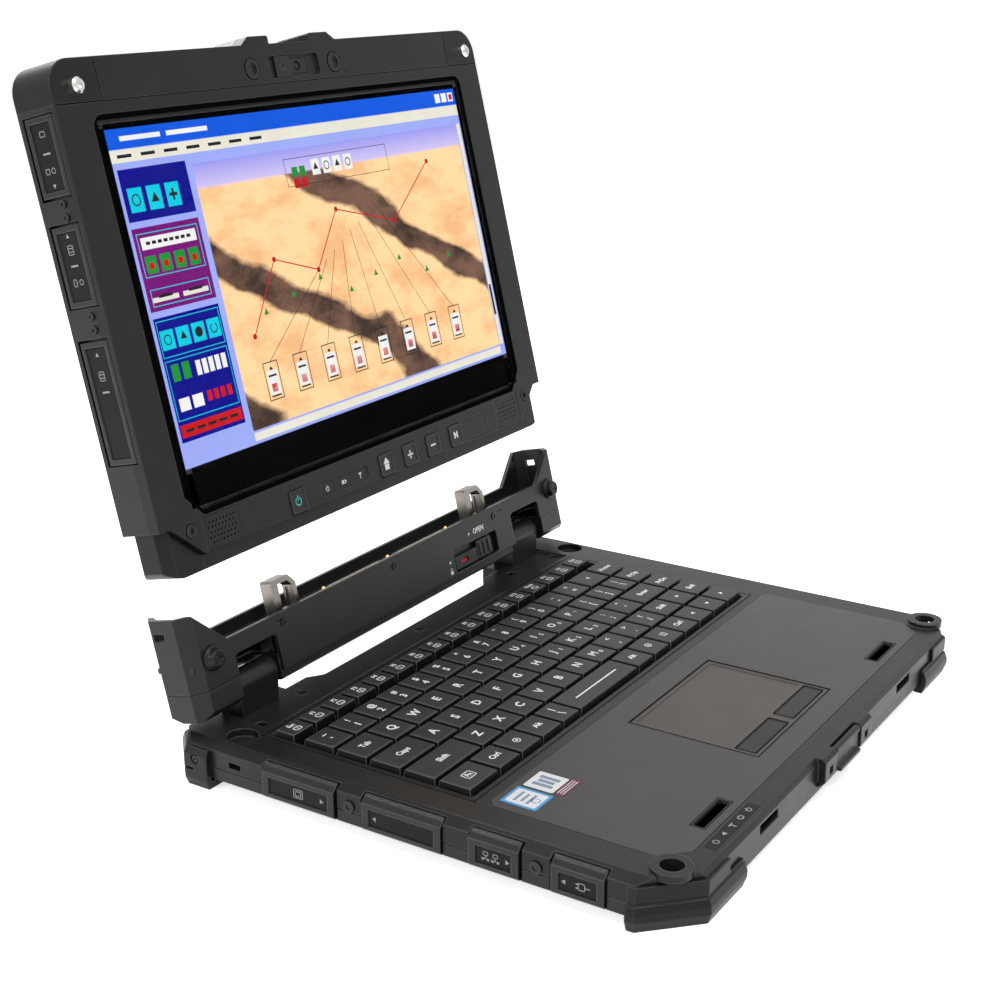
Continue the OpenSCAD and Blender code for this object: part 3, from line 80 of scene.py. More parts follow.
# %% [markdown]
# Operators act on whatever is selected, so every step starts from a clean selection. A finished piece has
# its place in its mesh and its object at the origin, as the nodes of the frame have, so that patterns on
# object coordinates stay put and every pose carries it along.

# %% Selecting and settling
def deselect():
    """Leave edit mode and select nothing."""
    if bpy.context.object and bpy.context.object.mode != "OBJECT":
        bpy.ops.object.mode_set(mode="OBJECT")
    bpy.ops.object.select_all(action="DESELECT")


def settle(obj, place):
    """Turn a piece into place and apply everything to its mesh."""
    deselect()
    obj.select_set(True)
    bpy.context.view_layer.objects.active = obj
    obj.matrix_world = place @ obj.matrix_world
    bpy.ops.object.transform_apply(location=True, rotation=True, scale=True)
    return obj


# %% [markdown]
# The inlays of this laptop are small moulded plates, and its labels are cut from sheet. An inlay is a cube
# with rounded edges, and a sheet is a plane with rounded corners that gets a thin wall. Both start as a
# primitive at its size, so the two share the steps that are the same.

# %% Blocks and sheets
def sized(name, size):
    """Name the primitive just added and bring it to its size."""
    obj = bpy.context.object
    obj.name = name
    obj.scale = size
    bpy.ops.object.transform_apply(location=True, rotation=True, scale=True)
    return obj


def round_off(offset, segments, affect):
    """Round every edge or every corner of the active piece."""
    bpy.ops.object.mode_set(mode="EDIT")
    bpy.ops.mesh.select_all(action="SELECT")
    bpy.ops.mesh.bevel(offset=offset, segments=segments, affect=affect)
    bpy.ops.object.mode_set(mode="OBJECT")


def block(name, low, high, place, bevel):
    """A block between two corners with its edges rounded."""
    deselect()
    bpy.ops.mesh.primitive_cube_add(size=1, location=[(a + b) / 2 for a, b in zip(low, high)])
    obj = sized(name, [b - a for a, b in zip(low, high)])
    round_off(bevel, 2, "EDGES")
    return settle(obj, place)


def sheet(name, low, high, wall, corner, place):
    """A thin sheet with rounded corners, half over and half under the XY plane of its place."""
    deselect()
    (x0, y0), (x1, y1) = low, high
    bpy.ops.mesh.primitive_plane_add(size=1, location=((x0 + x1) / 2, (y0 + y1) / 2, 0))
    obj = sized(name, (x1 - x0, y1 - y0, 1))
    round_off(corner, 4, "VERTICES")
    layer = obj.modifiers.new("wall", "SOLIDIFY")
    layer.thickness = wall
    layer.offset = 0
    bpy.ops.object.modifier_apply(modifier="wall")
    return settle(obj, place)


# %% [markdown]
# Pieces of one material on one part become one object, which keeps the list of pieces short. Every piece
# rides on the body that carries it.

# %% Joining and dressing
def join(name, parts):
    """Several pieces of one material as one object."""
    deselect()
    for part in parts:
        part.select_set(True)
    bpy.context.view_layer.objects.active = parts[0]
    if len(parts) > 1:
        bpy.ops.object.join()
    parts[0].name = name
    return parts[0]


def dress(obj, material, body):
    """Give a piece its material and hang it on its body."""
    obj.data.materials.clear()
    obj.data.materials.append(material)
    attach(obj, body)
    return obj


# %% [markdown]
# ## Finishes
# Nearly everything here is moulded plastic, and what makes it look real is fine grain, slow changes of
# colour and paler edges, partly wear and partly a painted highlight where the edges catch the light. One
# function builds such a finish from two noise patterns and the Bevel node, which tells an edge from a flat
# face; each finish only sets its own numbers.

# %% Nodes and patterns
def node(tree, kind, **values):
    """A new node with some of its settings or inputs, in which an underscore stands for a space."""
    made = tree.nodes.new(kind)
    for key, value in values.items():
        if hasattr(made, key):
            setattr(made, key, value)
        else:
            made.inputs[key.replace("_", " ")].default_value = value
    return made


def new_finish(name):
    """A new material, its node tree and its shader."""
    material = bpy.data.materials.new(name)
    material.use_nodes = True
    tree = material.node_tree
    return material, tree, tree.nodes["Principled BSDF"]


def noise(tree, scale, detail=2.0):
    """A noise pattern on object coordinates, with about scale bumps to the metre."""
    where = node(tree, "ShaderNodeTexCoord")
    pattern = node(tree, "ShaderNodeTexNoise", Scale=scale, Detail=detail)
    tree.links.new(where.outputs["Object"], pattern.inputs["Vector"])
    return pattern.outputs["Fac"]


def ramp(tree, value, stops):
    """A colour ramp over a value, from (place, colour) pairs."""
    made = node(tree, "ShaderNodeValToRGB")
    points = made.color_ramp.elements
    for index, (place, colour) in enumerate(stops):
        point = points[index] if index < 2 else points.new(place)
        point.position = place
        point.color = (*colour, 1)
    tree.links.new(value, made.inputs["Fac"])
    return made.outputs["Color"]


# %% [markdown]
# Hands and bags polish the edges of a moulded part first, and its edges catch the light, so the paler edges
# are partly wear and partly a painted highlight. The Bevel node gives the surface's direction as if the
# edges were round, without a new face, and where that differs from the flat face there is an edge. A second
# mask tells the faces that look up, so that the upright sides of the keys can be painted darker as shade.

# %% Edges and tops
def rounded_edges(tree, radius):
    """The surface's direction as if its edges had this radius."""
    return node(tree, "ShaderNodeBevel", samples=6, Radius=radius).outputs["Normal"]


def edge_mask(tree, rounded):
    """1 along the rounded edges and 0 on the flats."""
    flat = node(tree, "ShaderNodeNewGeometry")
    dot = node(tree, "ShaderNodeVectorMath", operation="DOT_PRODUCT")
    tree.links.new(rounded, dot.inputs[0])
    tree.links.new(flat.outputs["Normal"], dot.inputs[1])
    spread = node(tree, "ShaderNodeMapRange", From_Min=0.995, From_Max=0.93)
    tree.links.new(dot.outputs["Value"], spread.inputs["Value"])
    return spread.outputs["Result"]


def top_mask(tree):
    """1 on faces that look up and 0 on upright ones."""
    flat = node(tree, "ShaderNodeNewGeometry")
    parts = node(tree, "ShaderNodeSeparateXYZ")
    tree.links.new(flat.outputs["Normal"], parts.inputs["Vector"])
    return ramp(tree, parts.outputs["Z"], [(0.55, (0, 0, 0)), (0.75, (1, 1, 1))])


# %% [markdown]
# A finish is built from three steps: two colours are blended by a mask, the height of a fine pattern tilts
# the surface, and the roughness wanders a little, as it does on every part that has been touched.

# %% Blends, bumps and slow changes
def blend_colours(tree, fac, a, b):
    """The first colour where the factor is 0 and the second where it is 1."""
    mixed = node(tree, "ShaderNodeMix", data_type="RGBA")
    tree.links.new(fac, mixed.inputs["Factor"])
    for socket, colour in ((mixed.inputs["A"], a), (mixed.inputs["B"], b)):
        if isinstance(colour, tuple):
            socket.default_value = (*colour, 1)
        else:
            tree.links.new(colour, socket)
    return mixed.outputs["Result"]


def add_bump(tree, shader, height, strength, distance, rounded=None):
    """Tilt the surface by the heights of a pattern, over its rounded edges where it has them."""
    bump = node(tree, "ShaderNodeBump", Strength=strength, Distance=distance)
    tree.links.new(height, bump.inputs["Height"])
    if rounded:
        tree.links.new(rounded, bump.inputs["Normal"])
    tree.links.new(bump.outputs["Normal"], shader.inputs["Normal"])


def vary(tree, shader, socket, value, spread, scale):
    """Let a number wander a little over the surface."""
    reach = node(tree, "ShaderNodeMapRange", From_Min=0.3, From_Max=0.7, To_Min=value - spread,
                 To_Max=value + spread)
    tree.links.new(noise(tree, scale), reach.inputs["Value"])
    tree.links.new(reach.outputs["Result"], shader.inputs[socket])


# %% [markdown]
# Every plastic and rubber comes from one recipe, because all of them leave a steel mould: the grain is the
# mould's, the edges are paler, partly from wear and partly as a painted highlight, and the colour changes a
# little from place to place. The scales are in bumps to the metre.

# %% The moulded finish
COLOUR_SCALE, ROUGH_SCALE, ROUGH_SPREAD = 38, 60, 0.02
GRAIN_HEIGHT = 0.1 * MM


def moulded(name, colour, rough, grain=2400, bump=0.25, wear_and_highlight=4.0, spread=0.12, radius=0.0007,
            gloss=0.25, shaded_sides=None):
    """Moulded plastic or rubber: grain, slow colour change and paler edges of wear and painted highlight; a
    colour for the sides paints the upright faces darker as painted shade.
    """
    material, tree, shader = new_finish(name)
    dark = tuple(c * (1 - spread) for c in colour)
    light = tuple(c * (1 + spread) for c in colour)
    # the edges get a paler colour: partly wear, partly a painted highlight
    worn_and_highlit = tuple(c * wear_and_highlight for c in colour)
    body = ramp(tree, noise(tree, COLOUR_SCALE, 4), [(0.35, dark), (0.65, light)])
    # painted shade: faces that do not look up get the darker colour of the sides
    if shaded_sides:
        body = blend_colours(tree, top_mask(tree), shaded_sides, body)
    rounded = rounded_edges(tree, radius)
    tint = blend_colours(tree, edge_mask(tree, rounded), body, worn_and_highlit)
    tree.links.new(tint, shader.inputs["Base Color"])
    vary(tree, shader, "Roughness", rough, ROUGH_SPREAD, ROUGH_SCALE)
    shader.inputs["Specular IOR Level"].default_value = gloss
    add_bump(tree, shader, noise(tree, grain, 3), bump, GRAIN_HEIGHT, rounded)
    return material


# %% [markdown]
# The plastics of the dock and the tablet differ only in shade, gloss and grain: the housings are charcoal
# with a fine spark-eroded grain, the rubber is duller and coarser, and the keys are almost smooth. The same
# recipe makes the lacquer of the circuit boards.

# %% Plastics and rubbers
charcoal = moulded("charcoal_housing", (0.0108, 0.011, 0.0113), 0.36, grain=1400, bump=0.4, gloss=0.28,
                   spread=0.05)
deck_plastic = moulded("deck_plastic", (0.0155, 0.0157, 0.016), 0.3, grain=2000, gloss=0.2, radius=0.0009)
bezel_plastic = moulded("bezel_plastic", (0.0095, 0.0097, 0.01), 0.4, grain=1800, bump=0.3, gloss=0.22)
soft_rubber = moulded("soft_rubber", (0.008, 0.0081, 0.0084), 0.4, grain=1000, bump=0.8, gloss=0.2,
                      radius=0.0012)
cover_plastic = moulded("cover_plastic", (0.009, 0.0091, 0.0094), 0.36, grain=900, bump=1.1, gloss=0.32,
                        wear_and_highlight=5.5, radius=0.0011)
button_plastic = moulded("button_plastic", (0.012, 0.0122, 0.013), 0.4, grain=3000, bump=0.12)
# painted shade: the sides of the keys are much darker than their tops
key_plastic = moulded("key_plastic", (0.031, 0.0312, 0.0319), 0.38, grain=3200, bump=0.12, wear_and_highlight=4.5,
                      gloss=0.2, shaded_sides=(0.006, 0.006, 0.0063))
seam_shade = moulded("seam_shade", (0.0016, 0.0016, 0.0017), 0.7, bump=0.1, wear_and_highlight=1, gloss=0.05)
# painted highlight: pale bars that stand for the lit lips of joints and rims
rim_highlight = moulded("painted_rim_highlight", (0.05, 0.0505, 0.052), 0.4, bump=0.2, wear_and_highlight=1.2)
well_plastic = moulded("well_plastic", (0.003, 0.003, 0.0032), 0.7, grain=1800, gloss=0.1)
field_plastic = moulded("field_plastic", (0.005, 0.0051, 0.0054), 0.42, grain=3000, bump=0.1, wear_and_highlight=1.8,
                        gloss=0.15)
green_board = moulded("green_board", (0.02, 0.11, 0.05), 0.35, grain=500)
print("plastics:", len([m for m in bpy.data.materials if m.use_nodes]))

# %% [markdown]
# Metal parts are few: steel posts, hooks and pins, tinned sockets and gilded contacts. Stretching a noise
# along one axis gives the fine brush marks of turned or drawn metal.

# %% Brushed metals
ACROSS = (1, 40, 40)
BRUSH_HEIGHT = 0.05 * MM


def brushed(name, colour, rough):
    """Metal with fine brush marks along X."""
    material, tree, shader = new_finish(name)
    where = node(tree, "ShaderNodeTexCoord")
    stretch = node(tree, "ShaderNodeMapping", Scale=ACROSS)
    marks = node(tree, "ShaderNodeTexNoise", Scale=120.0, Detail=6.0)
    tree.links.new(where.outputs["Object"], stretch.inputs["Vector"])
    tree.links.new(stretch.outputs["Vector"], marks.inputs["Vector"])
    dark = tuple(c * 0.82 for c in colour)
    tint = ramp(tree, marks.outputs["Fac"], [(0.3, dark), (0.7, colour)])
    tree.links.new(tint, shader.inputs["Base Color"])
    shader.inputs["Metallic"].default_value = 1.0
    vary(tree, shader, "Roughness", rough, 0.06, 200)
    add_bump(tree, shader, marks.outputs["Fac"], 0.15, BRUSH_HEIGHT)
    return material


steel = brushed("bright_steel", (0.72, 0.71, 0.69), 0.28)
hook_steel = brushed("hook_steel", (0.3, 0.275, 0.25), 0.34)
dark_steel = brushed("dark_steel", (0.045, 0.045, 0.048), 0.4)
tin = brushed("tinned_steel", (0.6, 0.6, 0.62), 0.33)
gold = brushed("gold_plating", (0.86, 0.64, 0.28), 0.25)
print("metals:", [m.name for m in (steel, hook_steel, dark_steel, tin, gold)])

# %% [markdown]
# The palm rest and the touchpad carry a smooth, slightly warm coating. Its grain can hardly be seen and its
# edges get little wear and little painted highlight, so the moulded recipe serves with smaller numbers.

# %% Coatings of the palm rest
COATING = dict(grain=3600, bump=0.08, spread=0.05)
palm_coat = moulded("palm_coating", (0.0455, 0.0436, 0.0423), 0.36, wear_and_highlight=1.5, **COATING)
pad_coat = moulded("pad_coating", (0.064, 0.0565, 0.0525), 0.4, wear_and_highlight=1.3, **COATING)
print("coatings:", palm_coat.name, "and", pad_coat.name)


# %% [markdown]
# Inks, paper and small lamps are layers too thin for a grain of their own. A little unevenness in the
# colour is enough for them, and a lamp glows in its own colour.

# %% Inks, papers and lamps
def plain(name, colour, rough=0.5, glow=0.0, gloss=0.3):
    """A thin layer of ink or a small lamp, with a little unevenness."""
    material, tree, shader = new_finish(name)
    dark = tuple(c * 0.9 for c in colour)
    tint = ramp(tree, noise(tree, 900), [(0.3, dark), (0.6, colour)])
    tree.links.new(tint, shader.inputs["Base Color"])
    shader.inputs["Roughness"].default_value = rough
    shader.inputs["Specular IOR Level"].default_value = gloss
    if glow:
        shader.inputs["Emission Color"].default_value = (*colour, 1)
        shader.inputs["Emission Strength"].default_value = glow
    return material


white_ink = plain("white_ink", (0.84, 0.85, 0.85))
grey_ink = plain("grey_ink", (0.36, 0.37, 0.37))
teal_ink = plain("teal_ink", (0.05, 0.42, 0.4), glow=0.3)
red_ink = plain("red_ink", (0.5, 0.02, 0.02))
black_gloss = plain("black_gloss", (0.004, 0.004, 0.005), rough=0.12)
black_print = plain("black_print", (0.0026, 0.0026, 0.0028), rough=0.7, gloss=0.0)
label_white = plain("label_white", (0.7, 0.71, 0.72), rough=0.35)
label_blue = plain("label_blue", (0.05, 0.3, 0.62), rough=0.3)
label_maroon = plain("label_maroon", (0.12, 0.02, 0.035), rough=0.35)
label_ink = plain("label_ink", (0.2, 0.27, 0.36), rough=0.4)
print("materials so far:", len(bpy.data.materials))

# %% [markdown]
# The cover glass has a coating against reflections, which keeps the picture clear outdoors. A very low
# refractive index stands for that coating: the glass passes the picture and mirrors almost nothing.

# %% Cover glass
glass, glass_tree, glass_shader = new_finish("cover_glass")
glass_shader.inputs["Base Color"].default_value = (1, 1, 1, 1)
glass_shader.inputs["Roughness"].default_value = 0.02
glass_shader.inputs["IOR"].default_value = 1.01
glass_shader.inputs["Transmission Weight"].default_value = 1.0
add_bump(glass_tree, glass_shader, noise(glass_tree, 20), 0.01, 0.1 * MM)
print("refractive index:", round(glass_shader.inputs["IOR"].default_value, 2))

# %% [markdown]
# Each housing part gets its finish by name, so the list can be checked against the bench list of the frame.
# Covers, doors, keys and buttons come in families, and a rule on their names is shorter than a long list.

# %% Finish of every node of the frame
FINISHES = {
    "dock_bottom": charcoal, "dock_top": deck_plastic, "palm_rest_panel": palm_coat,
    "keyboard_plate": well_plastic, "touchpad": pad_coat, "touchpad_button_left": button_plastic,
    "touchpad_button_right": button_plastic, "front_corner_left": soft_rubber,
    "front_corner_right": soft_rubber, "rear_corner_left": soft_rubber, "rear_corner_right": soft_rubber,
    "dock_board": green_board, "dock_ports": tin, "dock_feet": soft_rubber, "dock_screws": dark_steel,
    "hinge_block_left": charcoal, "hinge_block_right": charcoal, "front_latch": charcoal,
    "front_latch_pin": steel, "cradle_housing": charcoal, "cradle_lower_cover": charcoal,
    "hinge_pins": steel, "docking_connector": button_plastic, "docking_contacts": gold,
    "release_slider": button_plastic, "release_bar": hook_steel, "lock_slider": button_plastic,
    "cradle_stops": soft_rubber, "cradle_screws": dark_steel, "tablet_rear": charcoal,
    "tablet_bezel": bezel_plastic, "display_glass": glass, "display_panel": black_gloss,
    "tablet_board": green_board, "tablet_battery": charcoal, "battery_latch": button_plastic,
    "tablet_corners": soft_rubber, "tablet_posts": steel, "tablet_screws": dark_steel,
    "speaker_grilles": bezel_plastic, "camera_module": black_gloss, "camera_shutter": button_plastic,
}


def finish_of(name):
    """The finish of a node, by its name or by its family."""
    if name in FINISHES:
        return FINISHES[name]
    if "cover" in name or "door" in name:
        return cover_plastic
    return key_plastic if name.endswith("keys") else button_plastic


for name, obj in frame["nodes"].items():
    obj.data.materials.clear()
    obj.data.materials.append(finish_of(name))
print("dressed", len(frame["nodes"]), "nodes")


# %% [markdown]
# ## Printed marks
# Keys, buttons and covers carry small white marks. On the real parts they are ink or laser marks, so each
# is a flat shape a few hundredths of a millimetre thick that is half sunk in its surface. A few stamps
# (a bar, a dot, a triangle, a ring and an open ring) are modelled once and copied, and letters come from
# text objects that are turned into meshes. A mark is then a list of stamps, in millimetres.

# %% One stamp of each kind
INK = 0.06 * MM
CIRCLE_CORNERS, RING_LINE, ARC_OPEN = 24, 0.12, 0.36
STAMPS = {}


def stamp_mesh(kind):
    """One flat shape about 1 across and 1 thick, made once."""
    if kind in STAMPS:
        return STAMPS[kind]
    deselect()
    if kind == "bar":
        bpy.ops.mesh.primitive_plane_add(size=1)
    else:
        corners = 3 if kind == "tip" else CIRCLE_CORNERS
        bpy.ops.mesh.primitive_circle_add(vertices=corners, radius=0.5, fill_type="NGON")
    obj = bpy.context.object
    if kind in ("ring", "arc"):
        bpy.ops.object.mode_set(mode="EDIT")
        bpy.ops.mesh.select_mode(type="FACE")
        bpy.ops.mesh.select_all(action="SELECT")
        bpy.ops.mesh.inset(thickness=RING_LINE)
        bpy.ops.mesh.delete(type="FACE")
        bpy.ops.object.mode_set(mode="OBJECT")
        for face in obj.data.polygons:
            face.select = kind == "arc" and face.center.y > ARC_OPEN
        if kind == "arc":
            bpy.ops.object.mode_set(mode="EDIT")
            bpy.ops.mesh.delete(type="FACE")
            bpy.ops.object.mode_set(mode="OBJECT")
    wall = obj.modifiers.new("wall", "SOLIDIFY")
    wall.thickness = 1
    wall.offset = 0
    bpy.ops.object.modifier_apply(modifier="wall")
    STAMPS[kind] = obj.data
    bpy.data.objects.remove(obj)
    return STAMPS[kind]


# %% [markdown]
# A copy of a stamp has its own mesh, so it can be stretched, turned and joined with others. Letters start as
# text objects, are made a little bolder and become meshes, as a printing plate is cut.

# %% Copies and letters
BOLD = 0.03


def stamp(kind, x, y, width, height=0.0, turn=0.0):
    """A copy of a stamp with its own mesh, in millimetres and degrees."""
    mesh = stamp_mesh(kind).copy()
    grow = Matrix.Diagonal((width * MM, (height or width) * MM, INK, 1))
    spin = Matrix.Rotation(math.radians(turn), 4, "Z")
    mesh.transform(Matrix.Translation((x * MM, y * MM, 0)) @ spin @ grow)
    obj = bpy.data.objects.new(kind, mesh)
    bpy.context.scene.collection.objects.link(obj)
    return obj


def letters(body, x, y, size):
    """Letters as a thin mesh, centred on a place."""
    deselect()
    bpy.ops.object.text_add()
    obj = bpy.context.object
    obj.data.body = body
    obj.data.size = size * MM
    obj.data.extrude = INK / 2
    obj.data.offset = BOLD * size * MM
    obj.data.resolution_u = 2
    obj.data.align_x = "CENTER"
    obj.data.align_y = "CENTER"
    bpy.ops.object.convert(target="MESH")
    obj = bpy.context.object
    obj.data.transform(Matrix.Translation((x * MM, y * MM, 0)))
    return obj


# %% [markdown]
# Most signs are outlines and lines, and both are made of bars. The last helper turns a list of strokes into
# one piece on a surface.

# %% Frames, lines and marks
def frame_of_bars(x, y, width, height, thick):
    """The outline of a rectangle as four bars."""
    bars = [("bar", x, y + side * (height - thick) / 2, width, thick) for side in (-1, 1)]
    return bars + [("bar", x + side * (width - thick) / 2, y, thick, height) for side in (-1, 1)]


def line(x0, y0, x1, y1, width):
    """A bar from one point to another."""
    turn = math.degrees(math.atan2(y1 - y0, x1 - x0))
    return ("bar", (x0 + x1) / 2, (y0 + y1) / 2, math.hypot(x1 - x0, y1 - y0), width, turn)


def mark(name, strokes, place, spot, ink, body):
    """Stamps and letters as one piece on a surface."""
    parts = []
    for kind, *values in strokes:
        if kind == "text":
            parts.append(letters(values[3], *values[:3]))
        else:
            parts.append(stamp(kind, *values))
    obj = join(name, parts)
    obj.data.transform(place @ Matrix.Translation(spot))
    return dress(obj, ink, body)


# %% [markdown]
# Marks are placed by the parts that carry them. The box of a node, measured in the flat frame of its
# surface, gives the middle and the height of the face, so a mark stays right when the part changes.

# %% Boxes and faces of nodes
def local_box(name, place):
    """Lowest and highest corner of a node in a turned frame, in metres."""
    inverse = place.inverted()
    points = [inverse @ v.co for v in frame["nodes"][name].data.vertices]
    low = Vector(min(p[i] for p in points) for i in range(3))
    high = Vector(max(p[i] for p in points) for i in range(3))
    return low, high


def facing(origin, to_right, up):
    """A flat frame on a surface, from its directions to the right and up."""
    to_right, up = Vector(to_right).normalized(), Vector(up).normalized()
    turn = Matrix((to_right, up, to_right.cross(up))).transposed().to_4x4()
    return Matrix.Translation(origin) @ turn


DOCK_LEFT = facing((0, 0, 0), (0, -1, 0), (0, 0, 1))
TABLET_LEFT = facing(TABLET.translation, out_of_screen, up_tablet)


# %% [markdown]
# ## Key legends
# The places of the keys are read from the tops of the key rows. Each row moves as one body, so its
# legends are one piece that rides on the same body. Two signs on a key stand one over the other, small
# digits of the number pad stand beside their letter, and words are set smaller.

# %% Tops of the keys
def key_tops(name):
    """Middle of every key's top and the height of the row, from left to right, in metres."""
    mesh = frame["nodes"][name].data
    top = max(v.co.z for v in mesh.vertices)
    flats = [f for f in mesh.polygons if f.center.z > top - 0.01 * MM]
    spans = []
    for flat in sorted(flats, key=lambda f: min(mesh.vertices[i].co.x for i in f.vertices)):
        corners = [mesh.vertices[i].co for i in flat.vertices]
        low, high = min(c.x for c in corners), max(c.x for c in corners)
        if spans and low < spans[-1][1] - 0.1 * MM:
            spans[-1][1] = max(spans[-1][1], high)
        else:
            spans.append([low, high])
    ys = [mesh.vertices[i].co.y for f in flats for i in f.vertices]
    return [(a + b) / 2 for a, b in spans], (min(ys) + max(ys)) / 2, top


KEY_WORDS = {
    "function_keys": "Esc F1 F2 F3 F4 F5 F6 F7 F8 F9 F10 F11 F12 Num Prt Ins Del",
    "number_keys": "`~ 1! 2@ 3# 4$ 5% 6^ 7& 8* 9( 0) -_ =+ left Home",
    "upper_letter_keys": "Tab Q W E R T Y U4 I5 O6 P* [{ ]} \\| PgUp",
    "home_letter_keys": "Caps A S D F G H J1 K2 L3 ;: '\" Enter PgDn",
    "lower_letter_keys": "Shift Z X C V B N M0 ,< .> /? Shift up End",
    "space_keys": "Fn Ctrl ring Alt \\| space Alt ring menu Ctrl left down right",
}
UP, LEFT, DOWN, RIGHT = 0, 90, 180, -90
ARROWS = {"up": UP, "left": LEFT, "down": DOWN, "right": RIGHT}
BADGES = [("dot", 1.0), ("tip", 1.2), ("ring", 1.5), ("bar", 1.1)]
print("legends:", sum(len(words.split()) for words in KEY_WORDS.values()))


# %% [markdown]
# On real keys the legends are printed or cut by laser after moulding. A small function picks the stamps by
# the kind of key: arrows, the long bar of the space key, framed badges on the top row, letters elsewhere.

# %% Legend of one key
def legend(word, x, y, keys, index):
    """Stamps and letters for one key of a row of keys, in millimetres."""
    if word in ARROWS:
        return [("tip", x, y, 3.4, 3.0, ARROWS[word])]
    if word == "space":
        return [("bar", x, y - 0.4, 40, 0.9)]
    if word == "ring":
        return [("ring", x, y, 4.0), ("dot", x, y, 1.4)]
    if word == "menu":
        return frame_of_bars(x, y, 3.8, 3.6, 0.4) + [("bar", x, y + k, 2.0, 0.4) for k in (-0.7, 0.7)]
    if keys == "function_keys":
        kind, size = BADGES[index % 4]
        badge = frame_of_bars(x, y - 1.9, 4.8, 3.4, 0.6) + [(kind, x, y - 1.9, size)]
        return [("text", x, y + 2.2, 3.4, word)] + badge
    if word == "Fn":
        return frame_of_bars(x, y, 6.4, 5.2, 0.5) + [("text", x, y, 3.6, word)]
    if len(word) == 1:
        return [("text", x, y, 6.4, word)]
    if len(word) == 2 and word[0].isalpha():
        return [("text", x - 2.0, y, 6.2, word[0]), ("text", x + 3.2, y - 1.6, 3.8, word[1])]
    if len(word) == 2:
        return [("text", x, y - 3.1, 5.6, word[0]), ("text", x, y + 3.1, 4.8, word[1])]
    return [("text", x, y, 4.4, word)]


for keys, words in KEY_WORDS.items():
    xs, y, top = key_tops(keys)
    strokes = []
    for index, (x, word) in enumerate(zip(xs, words.split())):
        strokes += legend(word, x / MM, y / MM, keys, index)
    mark(keys[:-1] + "_legends", strokes, FLAT, (0, 0, top), white_ink, keys)
    print(keys, len(xs), "keys,", len(words.split()), "legends")

# %% [markdown]
# ## Seams
# Where two mouldings meet there is a dark joint with a lip that catches the light. The joint round the
# keyboard and those round the rubber guards of the tablet are fine bars laid into the surface, a dark one
# for the joint and a thin paler one that is a painted highlight on its lip.

# %% Joint round the keyboard
KEYBOARD_JOINT, KEYBOARD_LIP = (7, 0.7), (7.5, 0.25)
PALM_STEP = 0.15 * MM
palm_low, palm_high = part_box("palm_rest_panel")
deck = (0, 0, palm_high[2] - PALM_STEP)


def around(x, y, width, height, rim):
    """A frame of bars round a rectangle; its rim says how much larger it is, and how thick."""
    grow, thick = rim
    return frame_of_bars(x, y, width + grow, height + grow, thick)


def box_of_bars(name, rim):
    """Such a frame round a node, seen from above, in millimetres."""
    low, high = (v / MM for v in map(Vector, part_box(name)))
    x, y = ((low + high) / 2).xy
    return around(x, y, high.x - low.x, high.y - low.y, rim)


joint = box_of_bars("keyboard_plate", KEYBOARD_JOINT)
lip = box_of_bars("keyboard_plate", KEYBOARD_LIP)
mark("keyboard_joint", joint, FLAT, deck, seam_shade, "dock")
# painted highlight on the lip of the keyboard joint
mark("keyboard_lip_highlight", lip, FLAT, deck, rim_highlight, "dock")
print("deck at", round(deck[2] / MM, 2), "mm")

# %% [markdown]
# The touchpad and its buttons are separate parts dropped into the palm rest, so a dark gap runs round each,
# with a pale bar outside it that is a painted highlight on the lip of the coated sheet. The two slots at the
# front have such a painted highlight too. Bars a hair above the sheet draw the gap sharply.

# %% Joints of the palm rest and the touchpad
PAD_GAP, PAD_LIP, BUTTON_GAP = (0.5, 0.55), (1.6, 0.25), (0.6, 0.5)
SLOT_GAP, SLOT_LIP = (2.6, 0.4), (1.6, 0.3)
SLOT_X, SLOT_Y, SLOT_WIDE, SLOT_DEEP = 101.25, -149.6, 25.7, 4.8
HAIR = 0.01 * MM
pad_joints = box_of_bars("touchpad", PAD_GAP)
for name in ("touchpad_button_left", "touchpad_button_right"):
    pad_joints += box_of_bars(name, BUTTON_GAP)
slot_lips = []
for side in (-1, 1):
    slot_lips += around(side * SLOT_X, SLOT_Y, SLOT_WIDE, SLOT_DEEP, SLOT_LIP)
    pad_joints += around(side * SLOT_X, SLOT_Y, SLOT_WIDE, SLOT_DEEP, SLOT_GAP)
palm = (0, 0, palm_high[2] + HAIR)
# painted highlight on the rims of the slots and round the touchpad
mark("palm_slot_lip_highlights", slot_lips, FLAT, palm, rim_highlight, "dock")
mark("touchpad_joints", pad_joints, FLAT, palm, seam_shade, "dock")
mark("touchpad_lip_highlight", box_of_bars("touchpad", PAD_LIP), FLAT, palm, rim_highlight, "dock")
print("palm rest at", round(palm_high[2] / MM, 2), "mm")

# %% [markdown]
# The rubber guards of the tablet meet the bezel along two straight lines at each upper corner, and a seam
# joins them over the glass. Their place is worked out from the box of the guards, with the width and height
# of one guard.

# %% Joints of the tablet's guards
half, tall = (local_box("tablet_corners", TABLET)[1] / MM).xy
GUARD_WIDE, GUARD_TALL, EDGE_ROUND, TOP_ROUND = 28.75, 19.5, 0.8, 1
DARK, LIT, STEP = 0.5, 0.2, 0.4
SEAM, SEAM_STEP = 0.35, 0.3
inner, y = half - GUARD_WIDE, tall - GUARD_TALL
joints_dark = [("bar", 0, y, 2 * inner, SEAM)]
joints_lit = [("bar", 0, y + SEAM_STEP, 2 * inner, LIT)]
for side in (-1, 1):
    x, out = side * inner, side * (half - EDGE_ROUND)
    joints_dark += [("bar", x, (y + tall) / 2, DARK, GUARD_TALL - TOP_ROUND)]
    joints_dark += [("bar", (x + out) / 2, y, abs(out - x), DARK)]
    joints_lit += [("bar", x - side * STEP, (y + tall) / 2, LIT, GUARD_TALL - TOP_ROUND)]
    joints_lit += [("bar", (x + out) / 2, y - STEP, abs(out - x), LIT)]
